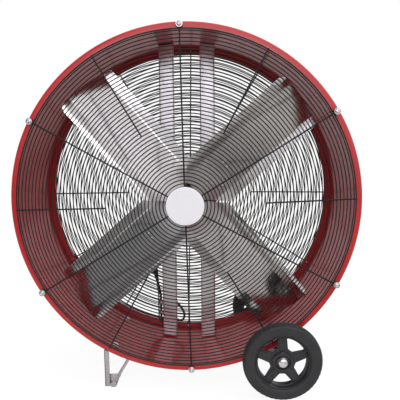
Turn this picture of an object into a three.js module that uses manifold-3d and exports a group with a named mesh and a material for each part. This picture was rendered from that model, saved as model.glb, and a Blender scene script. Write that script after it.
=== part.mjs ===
// Belt-driven drum fan on two wheels and two legs.
// Units are millimetres, +Z is up, the air leaves towards -Y, and the origin
// is on the floor under the centre of the drum.
import * as THREE from 'three';
import { mergeVertices } from 'three/addons/utils/BufferGeometryUtils.js';
import Module from 'manifold-3d';

const wasm = await Module();
wasm.setup();

// ---------------------------------------------------------------- dimensions
const GAP = 0.4;              // clearance between neighbouring pieces
const AXIS_Z = 620;           // height of the fan axis

const DRUM_R = 562;           // outside radius of the rolled drum
const DRUM_T = 2;             // drum sheet
const DRUM_HALF = 178;        // half of the drum's depth
const LIP_R = 12;             // radius of the rolled edge
const LIP_IN = 539;           // inner radius of the turned-in rim
const DRUM_SEG = 48;

const GUARD_EDGE_R = 545;     // where a guard's spokes end
const GUARD_DOME = 36;        // how far a guard bulges in the middle
const GUARD_Y = 181;          // height of a guard's wire centre at its edge
const RING_FIRST = 81;        // innermost guard ring
const RING_PITCH = 26;
const RING_COUNT = 18;
const RING_SEG = 18;
const WIRE = 4.6;             // guard wire
const RIM_WIRE_R = 538.5;       // outer wire that ties the spokes
const CENTRE_R = 57.5;        // plate in the middle of a guard
const SPOKE_FRONT_DEG = 31.4; // first full spoke of the front guard
const SPOKE_REAR_DEG = 29;    // first full spoke of the rear guard
const SHORT_IN_R = 248;       // where the short spokes begin
const SCREW_CIRCLE = 550;
const BADGE_R = 61;

const BLADES = 4;
const BLADE_DEG = 41.3;       // first blade, from +X towards +Z
const BLADE_ROOT = 44;         // the root corners are cut at 45 degrees; the forward edge laps over its neighbour
const BLADE_TIP = 517;          // the tip is an arc of this radius
const BLADE_Y = -80;          // middle of the blades along the axis
const BLADE_PITCH = 23;       // degrees
const BLADE_T = 2.4;
const BLADE_CAMBER = 11;
const BLADE_HALF = 102;        // half width
// section across the paddle: [distance from its middle, height above the pitch plane]
const BLADE_SECTION = [[-BLADE_HALF, -5], [-66, 10.5], [-33, 11], [0, 11], [33, 11], [64, 10.5], [87, 4.5], [BLADE_HALF, 9]];

const SHAFT_R = 12.5;
const PULLEY_Y = 30;          // front face of both pulleys
const PULLEY_W = 20;
const PULLEY_R = 105;
const PULLEY_GROOVE = 94;
const MOTOR_PULLEY_R = 36;
const MOTOR_GROOVE = 27;
const BELT_IN = 0.6;          // belt clearance over the groove floor
const BELT_T = 8;
const BELT_W = 11;

const STRUT_X = [-77.5, 71.5];
const STRUT_W = 54;
const STRUT_D = 28;
const STRUT_T = 2.5;
const STRUT_Y = 71;

const MOTOR_X = -195;
const MOTOR_Z = 452;
const MOTOR_R = 75;

const WHEEL_X = 303;
const WHEEL_R = 126;
const WHEEL_Y = 240;          // middle of a wheel
const TYRE_W = 40;
const HUB_OUT = -9;           // the wheel hub and the axle's end stand back from the tyre's side
const RIM_R = 86.6;
const TYRE_IN = 87;
const AXLE_R = 8;
const AXLE_TUBE_R = 11;
const BRACKET_Y = 150;

const LEG_Y = 152;            // middle of a leg
const LEG_D = 40;

// ------------------------------------------------------------------- helpers
const group = new THREE.Group();
const rad = (d) => (d * Math.PI) / 180;

function paint(color, roughness, metalness) {
  return new THREE.MeshStandardMaterial({ color, roughness, metalness });
}
const RED = paint(0xb3202a, 0.28, 0.1);
const GUARD_BLACK = paint(0x17191a, 0.45, 0.3);
const GALVANISED = paint(0xb4b6bd, 0.45, 0.85);
const ALUMINIUM = paint(0xa9a49c, 0.35, 0.95);
const STEEL = paint(0x8b8d90, 0.35, 0.9);
const ZINC = paint(0xd0d2d4, 0.25, 0.9);
const CAST = paint(0x3a3c3f, 0.6, 0.6);
const WHITE = paint(0xe6eaf2, 0.4, 0.0);
const RUBBER = paint(0x1d1f20, 0.85, 0.0);
const PLASTIC = paint(0x26282a, 0.5, 0.0);
const MOTOR_PAINT = paint(0x2c2e31, 0.45, 0.4);
const CHROME = paint(0xdfe1e3, 0.08, 1.0);

// closes a geometry into a solid: shared vertices merged, slivers dropped,
// faces turned outwards
function solid(geometry) {
  let g = geometry.clone();
  g.deleteAttribute('normal');
  g.deleteAttribute('uv');
  g = mergeVertices(g, 1e-3);
  const p = g.attributes.position.array;
  const idx = g.index.array;
  const tri = [];
  let volume = 0;
  for (let i = 0; i < idx.length; i += 3) {
    const [a, b, c] = [idx[i], idx[i + 1], idx[i + 2]];
    if (a === b || b === c || a === c) continue;
    tri.push(a, b, c);
    const [ax, ay, az] = [p[3 * a], p[3 * a + 1], p[3 * a + 2]];
    const [bx, by, bz] = [p[3 * b], p[3 * b + 1], p[3 * b + 2]];
    const [cx, cy, cz] = [p[3 * c], p[3 * c + 1], p[3 * c + 2]];
    volume += ax * (by * cz - bz * cy) - ay * (bx * cz - bz * cx) + az * (bx * cy - by * cx);
  }
  if (volume < 0) {
    for (let i = 0; i < tri.length; i += 3) [tri[i], tri[i + 1]] = [tri[i + 1], tri[i]];
  }
  return new wasm.Manifold(new wasm.Mesh({
    numProp: 3,
    vertProperties: new Float32Array(p),
    triVerts: new Uint32Array(tri),
  }));
}

function toGeometry(manifold) {
  const m = manifold.getMesh();
  const g = new THREE.BufferGeometry();
  g.setAttribute('position', new THREE.BufferAttribute(new Float32Array(m.vertProperties), 3));
  g.setIndex(new THREE.BufferAttribute(new Uint32Array(m.triVerts), 1));
  g.computeVertexNormals();
  return g;
}

// one named piece; shape is a solid or a geometry
function piece(name, shape, material, place = {}) {
  const manifold = shape.getMesh ? shape : solid(shape);
  const mesh = new THREE.Mesh(toGeometry(manifold), material);
  mesh.name = name;
  if (place.at) mesh.position.set(...place.at);
  if (place.turn) mesh.rotation.set(...place.turn);
  (place.into ?? group).add(mesh);
  return mesh;
}

const moved = (g, x, y, z) => g.clone().translate(x, y, z);

// profile points are [radius, y]; the solid turns about Y
function lathe(points, segments) {
  return new THREE.LatheGeometry(points.map(([r, y]) => new THREE.Vector2(r, y)), segments);
}
function ringLathe(points, segments) {
  return lathe([...points, points[0]], segments);
}
// cylinder along Y between y0 and y1
function rodY(r, y0, y1, x = 0, z = 0, segments = 16) {
  const g = new THREE.CylinderGeometry(r, r, Math.abs(y1 - y0), segments);
  return g.translate(x, (y0 + y1) / 2, z);
}
function box(x0, x1, y0, y1, z0, z1) {
  return new THREE.BoxGeometry(x1 - x0, y1 - y0, z1 - z0)
    .translate((x0 + x1) / 2, (y0 + y1) / 2, (z0 + z1) / 2);
}
// flat outline in (x, z), pulled along y from y0 to y1
function slab(outline, y0, y1, holes = []) {
  const shape = new THREE.Shape(outline.map(([x, z]) => new THREE.Vector2(x, z)));
  for (const hole of holes) shape.holes.push(new THREE.Path(hole.map(([x, z]) => new THREE.Vector2(x, z))));
  const g = new THREE.ExtrudeGeometry(shape, { depth: y1 - y0, bevelEnabled: false, steps: 1 });
  // shape Y becomes world Z, extrusion becomes -Y
  return g.rotateX(Math.PI / 2).translate(0, y1, 0);
}
function circle(r, n, x = 0, z = 0, start = 0) {
  const out = [];
  for (let i = 0; i < n; i++) {
    const a = start + (2 * Math.PI * i) / n;
    out.push([x + r * Math.cos(a), z + r * Math.sin(a)]);
  }
  return out;
}
// turns a geometry made along +X so that it points at an angle about the axis
function spun(g, degrees) {
  return g.clone().rotateY(-rad(degrees));
}

// everything on the fan axis hangs in this group
const onAxis = new THREE.Group();
onAxis.position.set(0, 0, AXIS_Z);
group.add(onAxis);

// ---------------------------------------------------------------- drum shell
{
  const H = DRUM_HALF;
  const edge = [
    [DRUM_R, -H + LIP_R], [DRUM_R - 3.5, -H + 3.5], [DRUM_R - LIP_R, -H],
    [LIP_IN, -H], [LIP_IN, -H + DRUM_T],
    [DRUM_R - LIP_R, -H + DRUM_T], [DRUM_R - 4.9, -H + 4.9], [DRUM_R - DRUM_T, -H + LIP_R],
  ];
  const back = edge.map(([r, y]) => [r, -y]).reverse();
  const wall = edge.concat(back);
  let drum = solid(ringLathe(wall, DRUM_SEG));
  const pierce = (r, y, deg, along) => {
    let cutter;
    if (along === 'y') cutter = rodY(3.8, y - 6, y + 6, r, 0, 8);
    else cutter = new THREE.CylinderGeometry(4.9, 4.9, 16, 8).rotateZ(Math.PI / 2).translate(r, y, 0);
    drum = drum.subtract(solid(spun(cutter, deg)));
  };
  for (let k = 0; k < 6; k++) {
    pierce(SCREW_CIRCLE, -H, SPOKE_FRONT_DEG + 60 * k, 'y');
    pierce(SCREW_CIRCLE, H, SPOKE_REAR_DEG + 60 * k, 'y');
  }
  for (const x of STRUT_X) {
    const a = (Math.acos(x / 558) * 180) / Math.PI;
    pierce(561, STRUT_Y + 20, a, 'r');
    pierce(561, STRUT_Y + 20, -a, 'r');
  }
  piece('drum_shell', drum, RED, { into: onAxis });
}

// -------------------------------------------------------------------- guards
const domeY = (r) => GUARD_Y + GUARD_DOME * (1 - (r / GUARD_EDGE_R) ** 2);

// rings, tied together by one wire on their inner side
function guardRings(tieDeg) {
  const half = WIRE / 2;
  const tie = new THREE.Shape([
    [RING_FIRST - 2, domeY(80) - 2.8], [300, domeY(300) - 3.2], [RING_FIRST + RING_PITCH * (RING_COUNT - 1) + 2, domeY(525) - 2.8],
    [RING_FIRST + RING_PITCH * (RING_COUNT - 1) + 2, domeY(525) + 0.6], [300, domeY(300) + 0.2], [RING_FIRST - 2, domeY(80) + 0.6],
  ].map(([r, y]) => new THREE.Vector2(r, y)));
  let g = solid(new THREE.ExtrudeGeometry(tie, { depth: WIRE, bevelEnabled: false }).translate(0, 0, -half))
    .rotate([0, -tieDeg, 0]);
  for (let i = 0; i < RING_COUNT; i++) {
    const r = RING_FIRST + RING_PITCH * i;
    const y = domeY(r);
    g = g.add(solid(ringLathe([[r - half, y + half], [r, y - half], [r + half, y + half]], RING_SEG)));
  }
  return g;
}
// centre plate, six full spokes that end in screw eyes, six short spokes
// and the outer wire
function guardFrame(firstDeg, shortDeg) {
  const half = WIRE / 2;
  const lift = half + 1.6;
  let g = solid(lathe([[0, domeY(0) + 0.5], [CENTRE_R, domeY(0) + 0.5], [CENTRE_R, domeY(0) + 3.5], [0, domeY(0) + 3.5]], 20));
  const spoke = (r0, r1, n) => {
    const low = [];
    const high = [];
    for (let i = 0; i <= n; i++) {
      const r = r0 + ((r1 - r0) * i) / n;
      low.push([r, domeY(r) + lift]);
      high.unshift([r, domeY(r) + lift + WIRE * 0.8]);
    }
    const s = new THREE.Shape([...low, ...high].map(([r, y]) => new THREE.Vector2(r, y)));
    return new THREE.ExtrudeGeometry(s, { depth: WIRE, bevelEnabled: false }).translate(0, 0, -half);
  };
  const eyeY = GUARD_Y - 2.4;
  const eye = solid(slab(circle(9.5, 8, SCREW_CIRCLE), eyeY, eyeY + 10, [circle(4.2, 6, SCREW_CIRCLE).reverse()]));
  const full = solid(spoke(40, SCREW_CIRCLE - 7, 3)).add(eye);
  const short = solid(spoke(SHORT_IN_R, RIM_WIRE_R + 1, 2));
  for (let k = 0; k < 6; k++) {
    g = g.add(full.rotate([0, -(firstDeg + 60 * k), 0]));
    g = g.add(short.rotate([0, -(shortDeg + 60 * k), 0]));
  }
  const y = domeY(RIM_WIRE_R) + lift + 1.2;
  return g.add(solid(ringLathe([[RIM_WIRE_R - half, y - half], [RIM_WIRE_R + half, y - half], [RIM_WIRE_R + half, y + half], [RIM_WIRE_R - half, y + half]], 24)));
}
{
  // a guard is made bulging towards +Y; half a turn about X makes the front
  // one, bulging towards -Y with its angles mirrored
  const over = [Math.PI, 0, 0];
  piece('rear_guard_rings', guardRings(SPOKE_REAR_DEG + 240), GUARD_BLACK, { into: onAxis });
  piece('rear_guard_spokes', guardFrame(SPOKE_REAR_DEG, 0), GUARD_BLACK, { into: onAxis });
  piece('front_guard_rings', guardRings(-SPOKE_FRONT_DEG - 240), GUARD_BLACK, { into: onAxis, turn: over });
  piece('front_guard_spokes', guardFrame(-SPOKE_FRONT_DEG, -1.6), GUARD_BLACK, { into: onAxis, turn: over });
  // plain round badge plate with a raised edge, on the front guard's centre
  const y = domeY(0) + 7.6;
  const badge = lathe([[0, y], [BADGE_R, y], [BADGE_R, y + 3.4], [BADGE_R - 3, y + 4], [0, y + 3]], 24);
  piece('guard_badge', badge, WHITE, { into: onAxis, turn: over });
}

// ------------------------------------------------------- guard screws, drum bolts
{
  // washer, domed head and shank through the turned-in rim
  const top = GUARD_Y + 8.1 + GAP;
  const screw = solid(lathe([
    [0, DRUM_HALF - 9], [3, DRUM_HALF - 9], [3, top], [10.5, top], [9.5, top + 4], [0, top + 6],
  ], 8));
  for (let k = 0; k < 6; k++) {
    const a = rad(SPOKE_FRONT_DEG + 60 * k);
    const b = rad(SPOKE_REAR_DEG + 60 * k);
    piece(`front_screw_${k + 1}`, screw, ZINC, {
      into: onAxis, at: [SCREW_CIRCLE * Math.cos(a), 0, SCREW_CIRCLE * Math.sin(a)], turn: [Math.PI, 0, 0],
    });
    piece(`rear_screw_${k + 1}`, screw, ZINC, {
      into: onAxis, at: [SCREW_CIRCLE * Math.cos(b), 0, SCREW_CIRCLE * Math.sin(b)],
    });
  }
}

// ---------------------------------------------------------------- rear struts
{
  const w = STRUT_W / 2;
  const channel = new THREE.Shape([
    [-w, 0], [w, 0], [w, STRUT_D], [w - STRUT_T, STRUT_D], [w - STRUT_T, STRUT_T],
    [-w + STRUT_T, STRUT_T], [-w + STRUT_T, STRUT_D], [-w, STRUT_D],
  ].map(([x, y]) => new THREE.Vector2(x, y)));
  const inside = solid(rodY(555.5, 0, 200, 0, 0, 90));
  let n = 0;
  STRUT_X.forEach((x, i) => {
    const rail = new THREE.ExtrudeGeometry(channel, { depth: 1130, bevelEnabled: false })
      .translate(x, STRUT_Y, -565);
    let strut = solid(rail).intersect(inside);
    const a = (Math.acos(x / 558) * 180) / Math.PI;
    for (const s of [a, -a]) {
      strut = strut.add(solid(spun(box(552.5, 555.8, STRUT_Y, STRUT_Y + 40, -w + 0.5, w - 0.5), s)));
      strut = strut.subtract(solid(spun(new THREE.CylinderGeometry(4.6, 4.6, 16, 8)
        .rotateZ(Math.PI / 2).translate(554, STRUT_Y + 20, 0), s)));
    }
    piece(i ? 'strut_right' : 'strut_left', strut, GALVANISED, { into: onAxis });
    for (const s of [a, -a]) {
      n += 1;
      // bolt with its head outside the drum
      const shank = solid(new THREE.CylinderGeometry(4, 4, 22, 8).rotateZ(Math.PI / 2).translate(553.4, STRUT_Y + 20, 0));
      const head = solid(new THREE.CylinderGeometry(8.2, 8.2, 6, 6).rotateZ(Math.PI / 2).translate(DRUM_R + GAP + 3, STRUT_Y + 20, 0));
      piece(`strut_bolt_${n}`, shank.add(head), ZINC, { into: onAxis, turn: [0, -rad(s), 0] });
    }
  });
}

// ------------------------------------------------------- bearings, shaft, hub
{
  const back = STRUT_Y + STRUT_D + GAP;
  piece('bearing_plate', slab([[-103, -60], [97, -60], [97, 60], [-103, 60]], back, back + 5, [circle(20, 16).reverse()]),
    GALVANISED, { into: onAxis });
  const bore = SHAFT_R + GAP;
  piece('bearing_front', ringLathe([
    [bore, back - 30], [24, back - 30], [26, back - 20], [42, back - 12], [42, back - GAP], [bore, back - GAP],
  ], 16), CAST, { into: onAxis });
  piece('bearing_rear', ringLathe([
    [bore, back + 5.4], [42, back + 5.4], [42, back + 14], [26, back + 20], [24, back + 26], [bore, back + 26],
  ], 16), CAST, { into: onAxis });
  piece('fan_shaft', lathe([[0, -123], [9.5, -123], [9.5, -107], [SHAFT_R, -107], [SHAFT_R, 134], [0, 134]], 16),
    STEEL, { into: onAxis });

  // hub barrel with four tilted arms behind the paddles
  const arm = (k) => {
    const g = box(20, 196, 0, 4, -23, 23);
    g.rotateX(rad(BLADE_PITCH));
    g.translate(0, BLADE_Y + BLADE_CAMBER * 0.985 + 2.4, 0);
    return solid(spun(g, BLADE_DEG + (360 / BLADES) * k));
  };
  let hub = solid(rodY(36, -105, -41, 0, 0, 20));
  hub = hub.add(solid(rodY(41, -67, -59, 0, 0, 20)));
  for (let k = 0; k < BLADES; k++) hub = hub.add(arm(k));
  hub = hub.subtract(solid(rodY(bore, -115, -35, 0, 0, 16)));
  piece('blade_hub', hub, CAST, { into: onAxis });
  piece('hub_nut', ringLathe([[10.4, -121], [16, -121], [17, -117], [22, -109], [22, -105.6], [10.4, -107.4]], 12),
    ZINC, { into: onAxis });

  // large pulley, grooved for the belt
  const y0 = PULLEY_Y;
  const y1 = PULLEY_Y + PULLEY_W;
  piece('fan_pulley', ringLathe([
    [bore, y0 - 8], [30, y0 - 8], [30, y0 + 7], [PULLEY_R, y0], [PULLEY_R - 1, y0 + 3.6],
    [PULLEY_GROOVE, y0 + 4], [PULLEY_GROOVE, y1 - 4], [PULLEY_R - 1, y1 - 3.6], [PULLEY_R, y1], [30, y0 + 13], [bore, y1],
  ], 24), CAST, { into: onAxis });
}

// -------------------------------------------------------------------- paddles
{
  const tan = Math.tan(rad(BLADE_PITCH));
  const NC = BLADE_SECTION.length - 1;
  const position = [];
  const index = [];
  const at = (side, i, j) => {
    const [c, rise] = BLADE_SECTION[j];
    const root = Math.max(BLADE_ROOT, c > 0 ? c - 6 : 4 - c);
    const tip = Math.sqrt(BLADE_TIP ** 2 - c ** 2) - (Math.abs(c) === BLADE_HALF ? 4 : 0);
    const y = BLADE_Y - c * tan + rise + (side ? BLADE_T / 2 : -BLADE_T / 2);
    return [root + ((tip - root) * i) / 3, y, c];
  };
  const NI = 4;
  for (const side of [0, 1]) {
    for (let i = 0; i < NI; i++) for (let j = 0; j <= NC; j++) position.push(...at(side, i, j));
  }
  const v = (side, i, j) => side * NI * (NC + 1) + i * (NC + 1) + j;
  const quad = (a, b, c, d) => index.push(a, b, c, a, c, d);
  for (let i = 0; i < NI - 1; i++) {
    for (let j = 0; j < NC; j++) {
      quad(v(0, i, j), v(0, i + 1, j), v(0, i + 1, j + 1), v(0, i, j + 1));
      quad(v(1, i, j), v(1, i, j + 1), v(1, i + 1, j + 1), v(1, i + 1, j));
    }
  }
  for (let i = 0; i < NI - 1; i++) {
    quad(v(0, i, 0), v(1, i, 0), v(1, i + 1, 0), v(0, i + 1, 0));
    quad(v(0, i, NC), v(0, i + 1, NC), v(1, i + 1, NC), v(1, i, NC));
  }
  for (let j = 0; j < NC; j++) {
    quad(v(0, 0, j), v(0, 0, j + 1), v(1, 0, j + 1), v(1, 0, j));
    quad(v(0, NI - 1, j), v(1, NI - 1, j), v(1, NI - 1, j + 1), v(0, NI - 1, j + 1));
  }
  const g = new THREE.BufferGeometry();
  g.setAttribute('position', new THREE.BufferAttribute(new Float32Array(position), 3));
  g.setAttribute('normal', new THREE.BufferAttribute(new Float32Array(position.length), 3));
  g.setAttribute('uv', new THREE.BufferAttribute(new Float32Array((position.length / 3) * 2), 2));
  g.setIndex(index);
  const paddle = solid(g);
  for (let k = 0; k < BLADES; k++) {
    piece(`blade_${k + 1}`, paddle, ALUMINIUM, { into: onAxis, turn: [0, -rad(BLADE_DEG + (360 / BLADES) * k), 0] });
  }
}

// ------------------------------------------------------------ motor and belt
const motorGroup = new THREE.Group();
motorGroup.position.set(MOTOR_X, 0, MOTOR_Z);
group.add(motorGroup);
{
  const into = motorGroup;
  const shaftR = 8;
  piece('motor_shaft', lathe([[0, 24], [shaftR, 24], [shaftR, 100], [0, 100]], 12), STEEL, { into });
  const y0 = PULLEY_Y;
  const y1 = PULLEY_Y + PULLEY_W;
  piece('motor_pulley', ringLathe([
    [shaftR + GAP, y0], [MOTOR_PULLEY_R, y0], [MOTOR_PULLEY_R - 1, y0 + 3.6], [MOTOR_GROOVE, y0 + 4],
    [MOTOR_GROOVE, y1 - 4], [MOTOR_PULLEY_R - 1, y1 - 3.6], [MOTOR_PULLEY_R, y1], [18, y1], [18, y1 + 9], [shaftR + GAP, y1 + 9],
  ], 16), CAST, { into });
  piece('motor_front_bell', ringLathe([
    [shaftR + GAP, 64], [22, 64], [24, 68], [62, 71], [MOTOR_R - 2, 76], [MOTOR_R - 2, 84 - GAP], [shaftR + GAP, 84 - GAP],
  ], 20), ALUMINIUM, { into });
  // shell with a recess for the shaft, on a foot that bolts to the mount plate
  let shell = solid(lathe([
    [0, 102], [shaftR + GAP, 102], [shaftR + GAP, 84], [MOTOR_R, 84], [MOTOR_R, 150], [0, 150],
  ], 20));
  shell = shell.add(solid(box(55, 85.2, 94, 140, -40, 40)));
  piece('motor_shell', shell, MOTOR_PAINT, { into });
  piece('motor_rear_bell', lathe([
    [0, 150 + GAP], [MOTOR_R - 2, 150 + GAP], [MOTOR_R - 2, 158], [60, 165], [26, 168], [0, 170],
  ], 20), ALUMINIUM, { into });
  // terminal box on the lower right, with the tapered boot of the motor lead
  let terminal = solid(box(MOTOR_R + 1, MOTOR_R + 26, 88, 142, -20, 20));
  terminal = terminal.rotate([0, 56, 0]);
  const boot = solid(new THREE.CylinderGeometry(15, 6, 88, 12)
    .rotateX(Math.PI / 2).translate(0, 0, -44));
  terminal = terminal.add(boot.rotate([0, -10, 0]).translate([51, 113, -88]));
  piece('motor_terminal_box', terminal, PLASTIC, { into });
}
{
  // belt round both grooves
  const d = Math.hypot(MOTOR_X, MOTOR_Z - AXIS_Z);
  const dir = Math.atan2(MOTOR_Z - AXIS_Z, MOTOR_X);
  const loop = (r1, r2) => {
    const open = Math.acos((r1 - r2) / d);
    const out = [];
    const n1 = 18;
    const n2 = 8;
    for (let i = 0; i <= n1; i++) {
      const a = dir + open + ((2 * Math.PI - 2 * open) * i) / n1;
      out.push([r1 * Math.cos(a), AXIS_Z + r1 * Math.sin(a)]);
    }
    for (let i = 0; i <= n2; i++) {
      const a = dir - open + (2 * open * i) / n2;
      out.push([MOTOR_X + r2 * Math.cos(a), MOTOR_Z + r2 * Math.sin(a)]);
    }
    return out;
  };
  // outline corners sit outside the round groove by the sagitta of a step
  const inR1 = (PULLEY_GROOVE + BELT_IN) / Math.cos(rad(11));
  const inR2 = (MOTOR_GROOVE + BELT_IN) / Math.cos(rad(11));
  const y = PULLEY_Y + (PULLEY_W - BELT_W) / 2;
  piece('drive_belt', slab(loop(inR1 + BELT_T, inR2 + BELT_T), y, y + BELT_W, [loop(inR1, inR2).reverse()]), RUBBER);
}
{
  // plate on the left strut's side, carries the motor foot
  const x1 = STRUT_X[0] - STRUT_W / 2 - GAP;
  piece('motor_mount_plate', box(x1 - 4.5, x1, STRUT_Y + 2, 165, MOTOR_Z - 78, MOTOR_Z + 78), GALVANISED);
}

// ------------------------------------------------- switch box, lead and clips
const SWITCH_X = -81;
const SWITCH_Z = 252.8;
{
  const [x0, x1, y0, y1, z0, z1] = [-107, -55, STRUT_Y + STRUT_D + 1.4, 150, 216, 290];
  let tray = solid(box(x0, x1, y0, y1, z0, z1)).subtract(solid(box(x0 + 2.5, x1 - 2.5, y0 + 2.5, y1 + 1, z0 + 2.5, z1 - 2.5)));
  tray = tray.subtract(solid(new THREE.CylinderGeometry(5.4, 5.4, 10, 10).rotateX(Math.PI / 2).translate(-68, 124, z0)));
  tray = tray.subtract(solid(new THREE.CylinderGeometry(4.2, 4.2, 10, 10).rotateX(Math.PI / 2).translate(-94, 124, z0)));
  // gland for the supply cord
  const gland = ringLathe([[4.2, -17], [7, -17], [9.5, -10], [9.5, 1], [4.2, 1]], 10).rotateX(Math.PI / 2);
  tray = tray.add(solid(gland.translate(-94, 124, z0)));
  piece('switch_box', tray, PLASTIC);
  piece('switch_box_cover', slab([[x0, z0], [x1, z0], [x1, z1], [x0, z1]], y1 + GAP, y1 + 3.2, [circle(4, 10, SWITCH_X, SWITCH_Z).reverse()]), PLASTIC);
  // knob outside the rear guard on a long spindle
  let knob = solid(lathe([[0, 214], [18, 214], [18, 218], [15, 228], [13.5, 229], [0, 229]], 20));
  knob = knob.add(solid(lathe([[0, 136], [3, 136], [3, 216], [0, 216]], 10)));
  knob = knob.add(solid(box(-3, 3, 216, 232, -4, 17)));
  piece('switch_knob', knob, PLASTIC, { at: [SWITCH_X, 0, SWITCH_Z] });
}
const LEAD = [
  [-128.2, 113, 276.5], [-126.5, 112, 268], [-121.5, 106, 252], [-116.5, 97, 236], [-114.2, 92, 218], [-114, 91, 196],
  [-114, 91, 160], [-113, 94, 134], [-107, 104, 116], [-94, 111, 110], [-76, 115, 114], [-58, 117, 119], [-43, 118, 114],
  [-30, 119, 117], [-24.5, 120, 131], [-28, 121, 151], [-40, 122, 170], [-54, 123, 187], [-64.5, 124, 203],
  [-68, 124, 216], [-68, 124, 236],
];
const LEAD_R = 4.5;
{
  const path = new THREE.CatmullRomCurve3(LEAD.map((p) => new THREE.Vector3(...p)), false, 'centripetal');
  const section = new THREE.Shape(circle(LEAD_R, 8).map(([x, y]) => new THREE.Vector2(x, y)));
  piece('motor_lead', new THREE.ExtrudeGeometry(section, { steps: 34, bevelEnabled: false, extrudePath: path }), RUBBER);
  // saddle clips that hold the lead to the strut's side
  const x1 = STRUT_X[0] - STRUT_W / 2 - GAP;
  [202, 160].forEach((z, i) => {
    const zc = z;
    const at = path.getPoint(closest(path, zc));
    const ring = solid(new THREE.CylinderGeometry(LEAD_R + 3.2, LEAD_R + 3.2, 12, 14).rotateX(Math.PI / 2))
      .subtract(solid(new THREE.CylinderGeometry(LEAD_R + 1.7, LEAD_R + 1.7, 20, 14).rotateX(Math.PI / 2)));
    const ear = solid(box(-at.x + x1 - 2.6, -at.x + x1, -18, 3, -6, 6));
    piece(`lead_clip_${i + 1}`, ring.add(ear), ZINC, { at: [at.x, at.y, at.z] });
  });
}
function closest(path, z) {
  let best = 0;
  let gap = 1e9;
  for (let i = 0; i <= 400; i++) {
    const p = path.getPoint(i / 400);
    if (p.x > -110) continue;
    if (Math.abs(p.z - z) < gap) { gap = Math.abs(p.z - z); best = i / 400; }
  }
  return best;
}

// --------------------------------------------------------- wheels and axle
{
  const end = WHEEL_Y + TYRE_W / 2 + HUB_OUT;
  piece('axle', lathe([
    [0, -end], [AXLE_R, -end], [AXLE_R, -220], [AXLE_TUBE_R, -220], [AXLE_TUBE_R, 220], [AXLE_R, 220], [AXLE_R, end], [0, end],
  ], 12), STEEL, { at: [WHEEL_X, 0, WHEEL_R] });

  const t = TYRE_W / 2;
  const tyre = ringLathe([
    [TYRE_IN, -t + 4], [112, -t], [WHEEL_R, -t + 10], [WHEEL_R, t - 10], [112, t], [TYRE_IN, t - 4],
  ], 32);
  // rim disc with five rounded windows and a hub, outer side towards +Y
  const rimAt = (base) => {
    const windows = [];
    for (let k = 0; k < 5; k++) {
      const a0 = base + (2 * Math.PI * k) / 5;
      const pt = (r, q) => [r * Math.cos(a0) - q * Math.sin(a0), r * Math.sin(a0) + q * Math.cos(a0)];
      windows.push([pt(46, -6), pt(46, 6), pt(68, 28), pt(74, 22), pt(77, 0), pt(74, -22), pt(68, -28)].reverse());
    }
    return solid(slab(circle(RIM_R, 32), -14, 6, windows))
      .add(solid(rodY(30, -t + 3, t + HUB_OUT, 0, 0, 15)))
      .subtract(solid(rodY(AXLE_R + GAP, -40, 40, 0, 0, 16)));
  };
  const cap = lathe([[0, 0], [17.5, 0], [17.5, 3], [12, 8], [0, 9.8]], 12);
  for (const [tag, side] of [['front', -1], ['rear', 1]]) {
    const at = [WHEEL_X, side * WHEEL_Y, WHEEL_R];
    const turn = side < 0 ? [Math.PI, 0, 0] : [0, 0, 0];
    piece(`wheel_tyre_${tag}`, tyre, RUBBER, { at });
    piece(`wheel_rim_${tag}`, rimAt((-side * Math.PI) / 2), PLASTIC, { at, turn });
    piece(`hub_cap_${tag}`, cap, CHROME, { at: [WHEEL_X, side * (end + GAP), WHEEL_R], turn });
  }

  // bracket: a saddle on the drum and a cheek down to the axle
  const R0 = DRUM_R + GAP;
  const arc = (r, a0, a1, n) => {
    const out = [];
    for (let i = 0; i <= n; i++) {
      const a = rad(a0 + ((a1 - a0) * i) / n);
      out.push([r * Math.cos(a), AXIS_Z + r * Math.sin(a)]);
    }
    return out;
  };
  for (const [tag, side] of [['front', -1], ['rear', 1]]) {
    const yc = side * BRACKET_Y;
    let b = solid(slab([...arc(R0, -63, -54, 4), [334, 136], [326, 112], [304, 105], [282, 110]], yc - 3, yc + 3));
    const [s0, s1] = side < 0 ? [yc, yc + 34] : [yc - 34, yc];
    b = b.add(solid(slab([...arc(R0, -64, -53, 5), ...arc(R0 + 3.5, -64, -53, 5).reverse()], s0, s1)));
    b = b.subtract(solid(rodY(AXLE_TUBE_R + GAP, yc - 60, yc + 60, WHEEL_X, WHEEL_R, 16)));
    piece(`axle_bracket_${tag}`, b, GALVANISED);
  }

  // leg: upright, slanted brace, low gusset, saddle under the drum and a foot
  for (const [tag, side] of [['front', -1], ['rear', 1]]) {
    const y0 = side * LEG_Y - LEG_D / 2;
    const y1 = side * LEG_Y + LEG_D / 2;
    const outer = side < 0 ? y0 : y1;
    const inner = side < 0 ? y0 + 3.5 : y1 - 3.5;
    const face = (a, b) => [Math.min(a, b), Math.max(a, b)];
    let leg = solid(slab([[-279, 2], [-263, 2], [-263, 140], [-279, 140]], ...face(outer, inner)));
    leg = leg.add(solid(slab([[-279, 2], [-276, 2], [-276, 140], [-279, 140]], y0, y1)));
    leg = leg.add(solid(slab([[-256, 6], [-249, 4], [-195, 96], [-202, 100]], y0 + 4, y1 - 4)));
    leg = leg.add(solid(slab([[-279, 2], [-246, 2], [-224, 41], [-279, 41]], ...face(side * (LEG_Y + 8), side * (LEG_Y + 11.5)))));
    leg = leg.subtract(solid(rodY(R0, -260, 260, 0, AXIS_Z, 90)));
    const [s0, s1] = face(side * (LEG_Y - 18), side * (LEG_Y + 6));
    leg = leg.add(solid(slab([...arc(R0, 239.5, 250, 5), ...arc(R0 + 3.5, 239.5, 250, 5).reverse()], s0, s1)));
    leg = leg.add(solid(slab([[-257, 0], [-245, 0], [-240, 5], [-240, 12], [-245, 17], [-257, 17], [-262, 12], [-262, 5]], y0 - 2, y1 + 2)));
    piece(`leg_${tag}`, leg, GALVANISED);
  }
}

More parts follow.
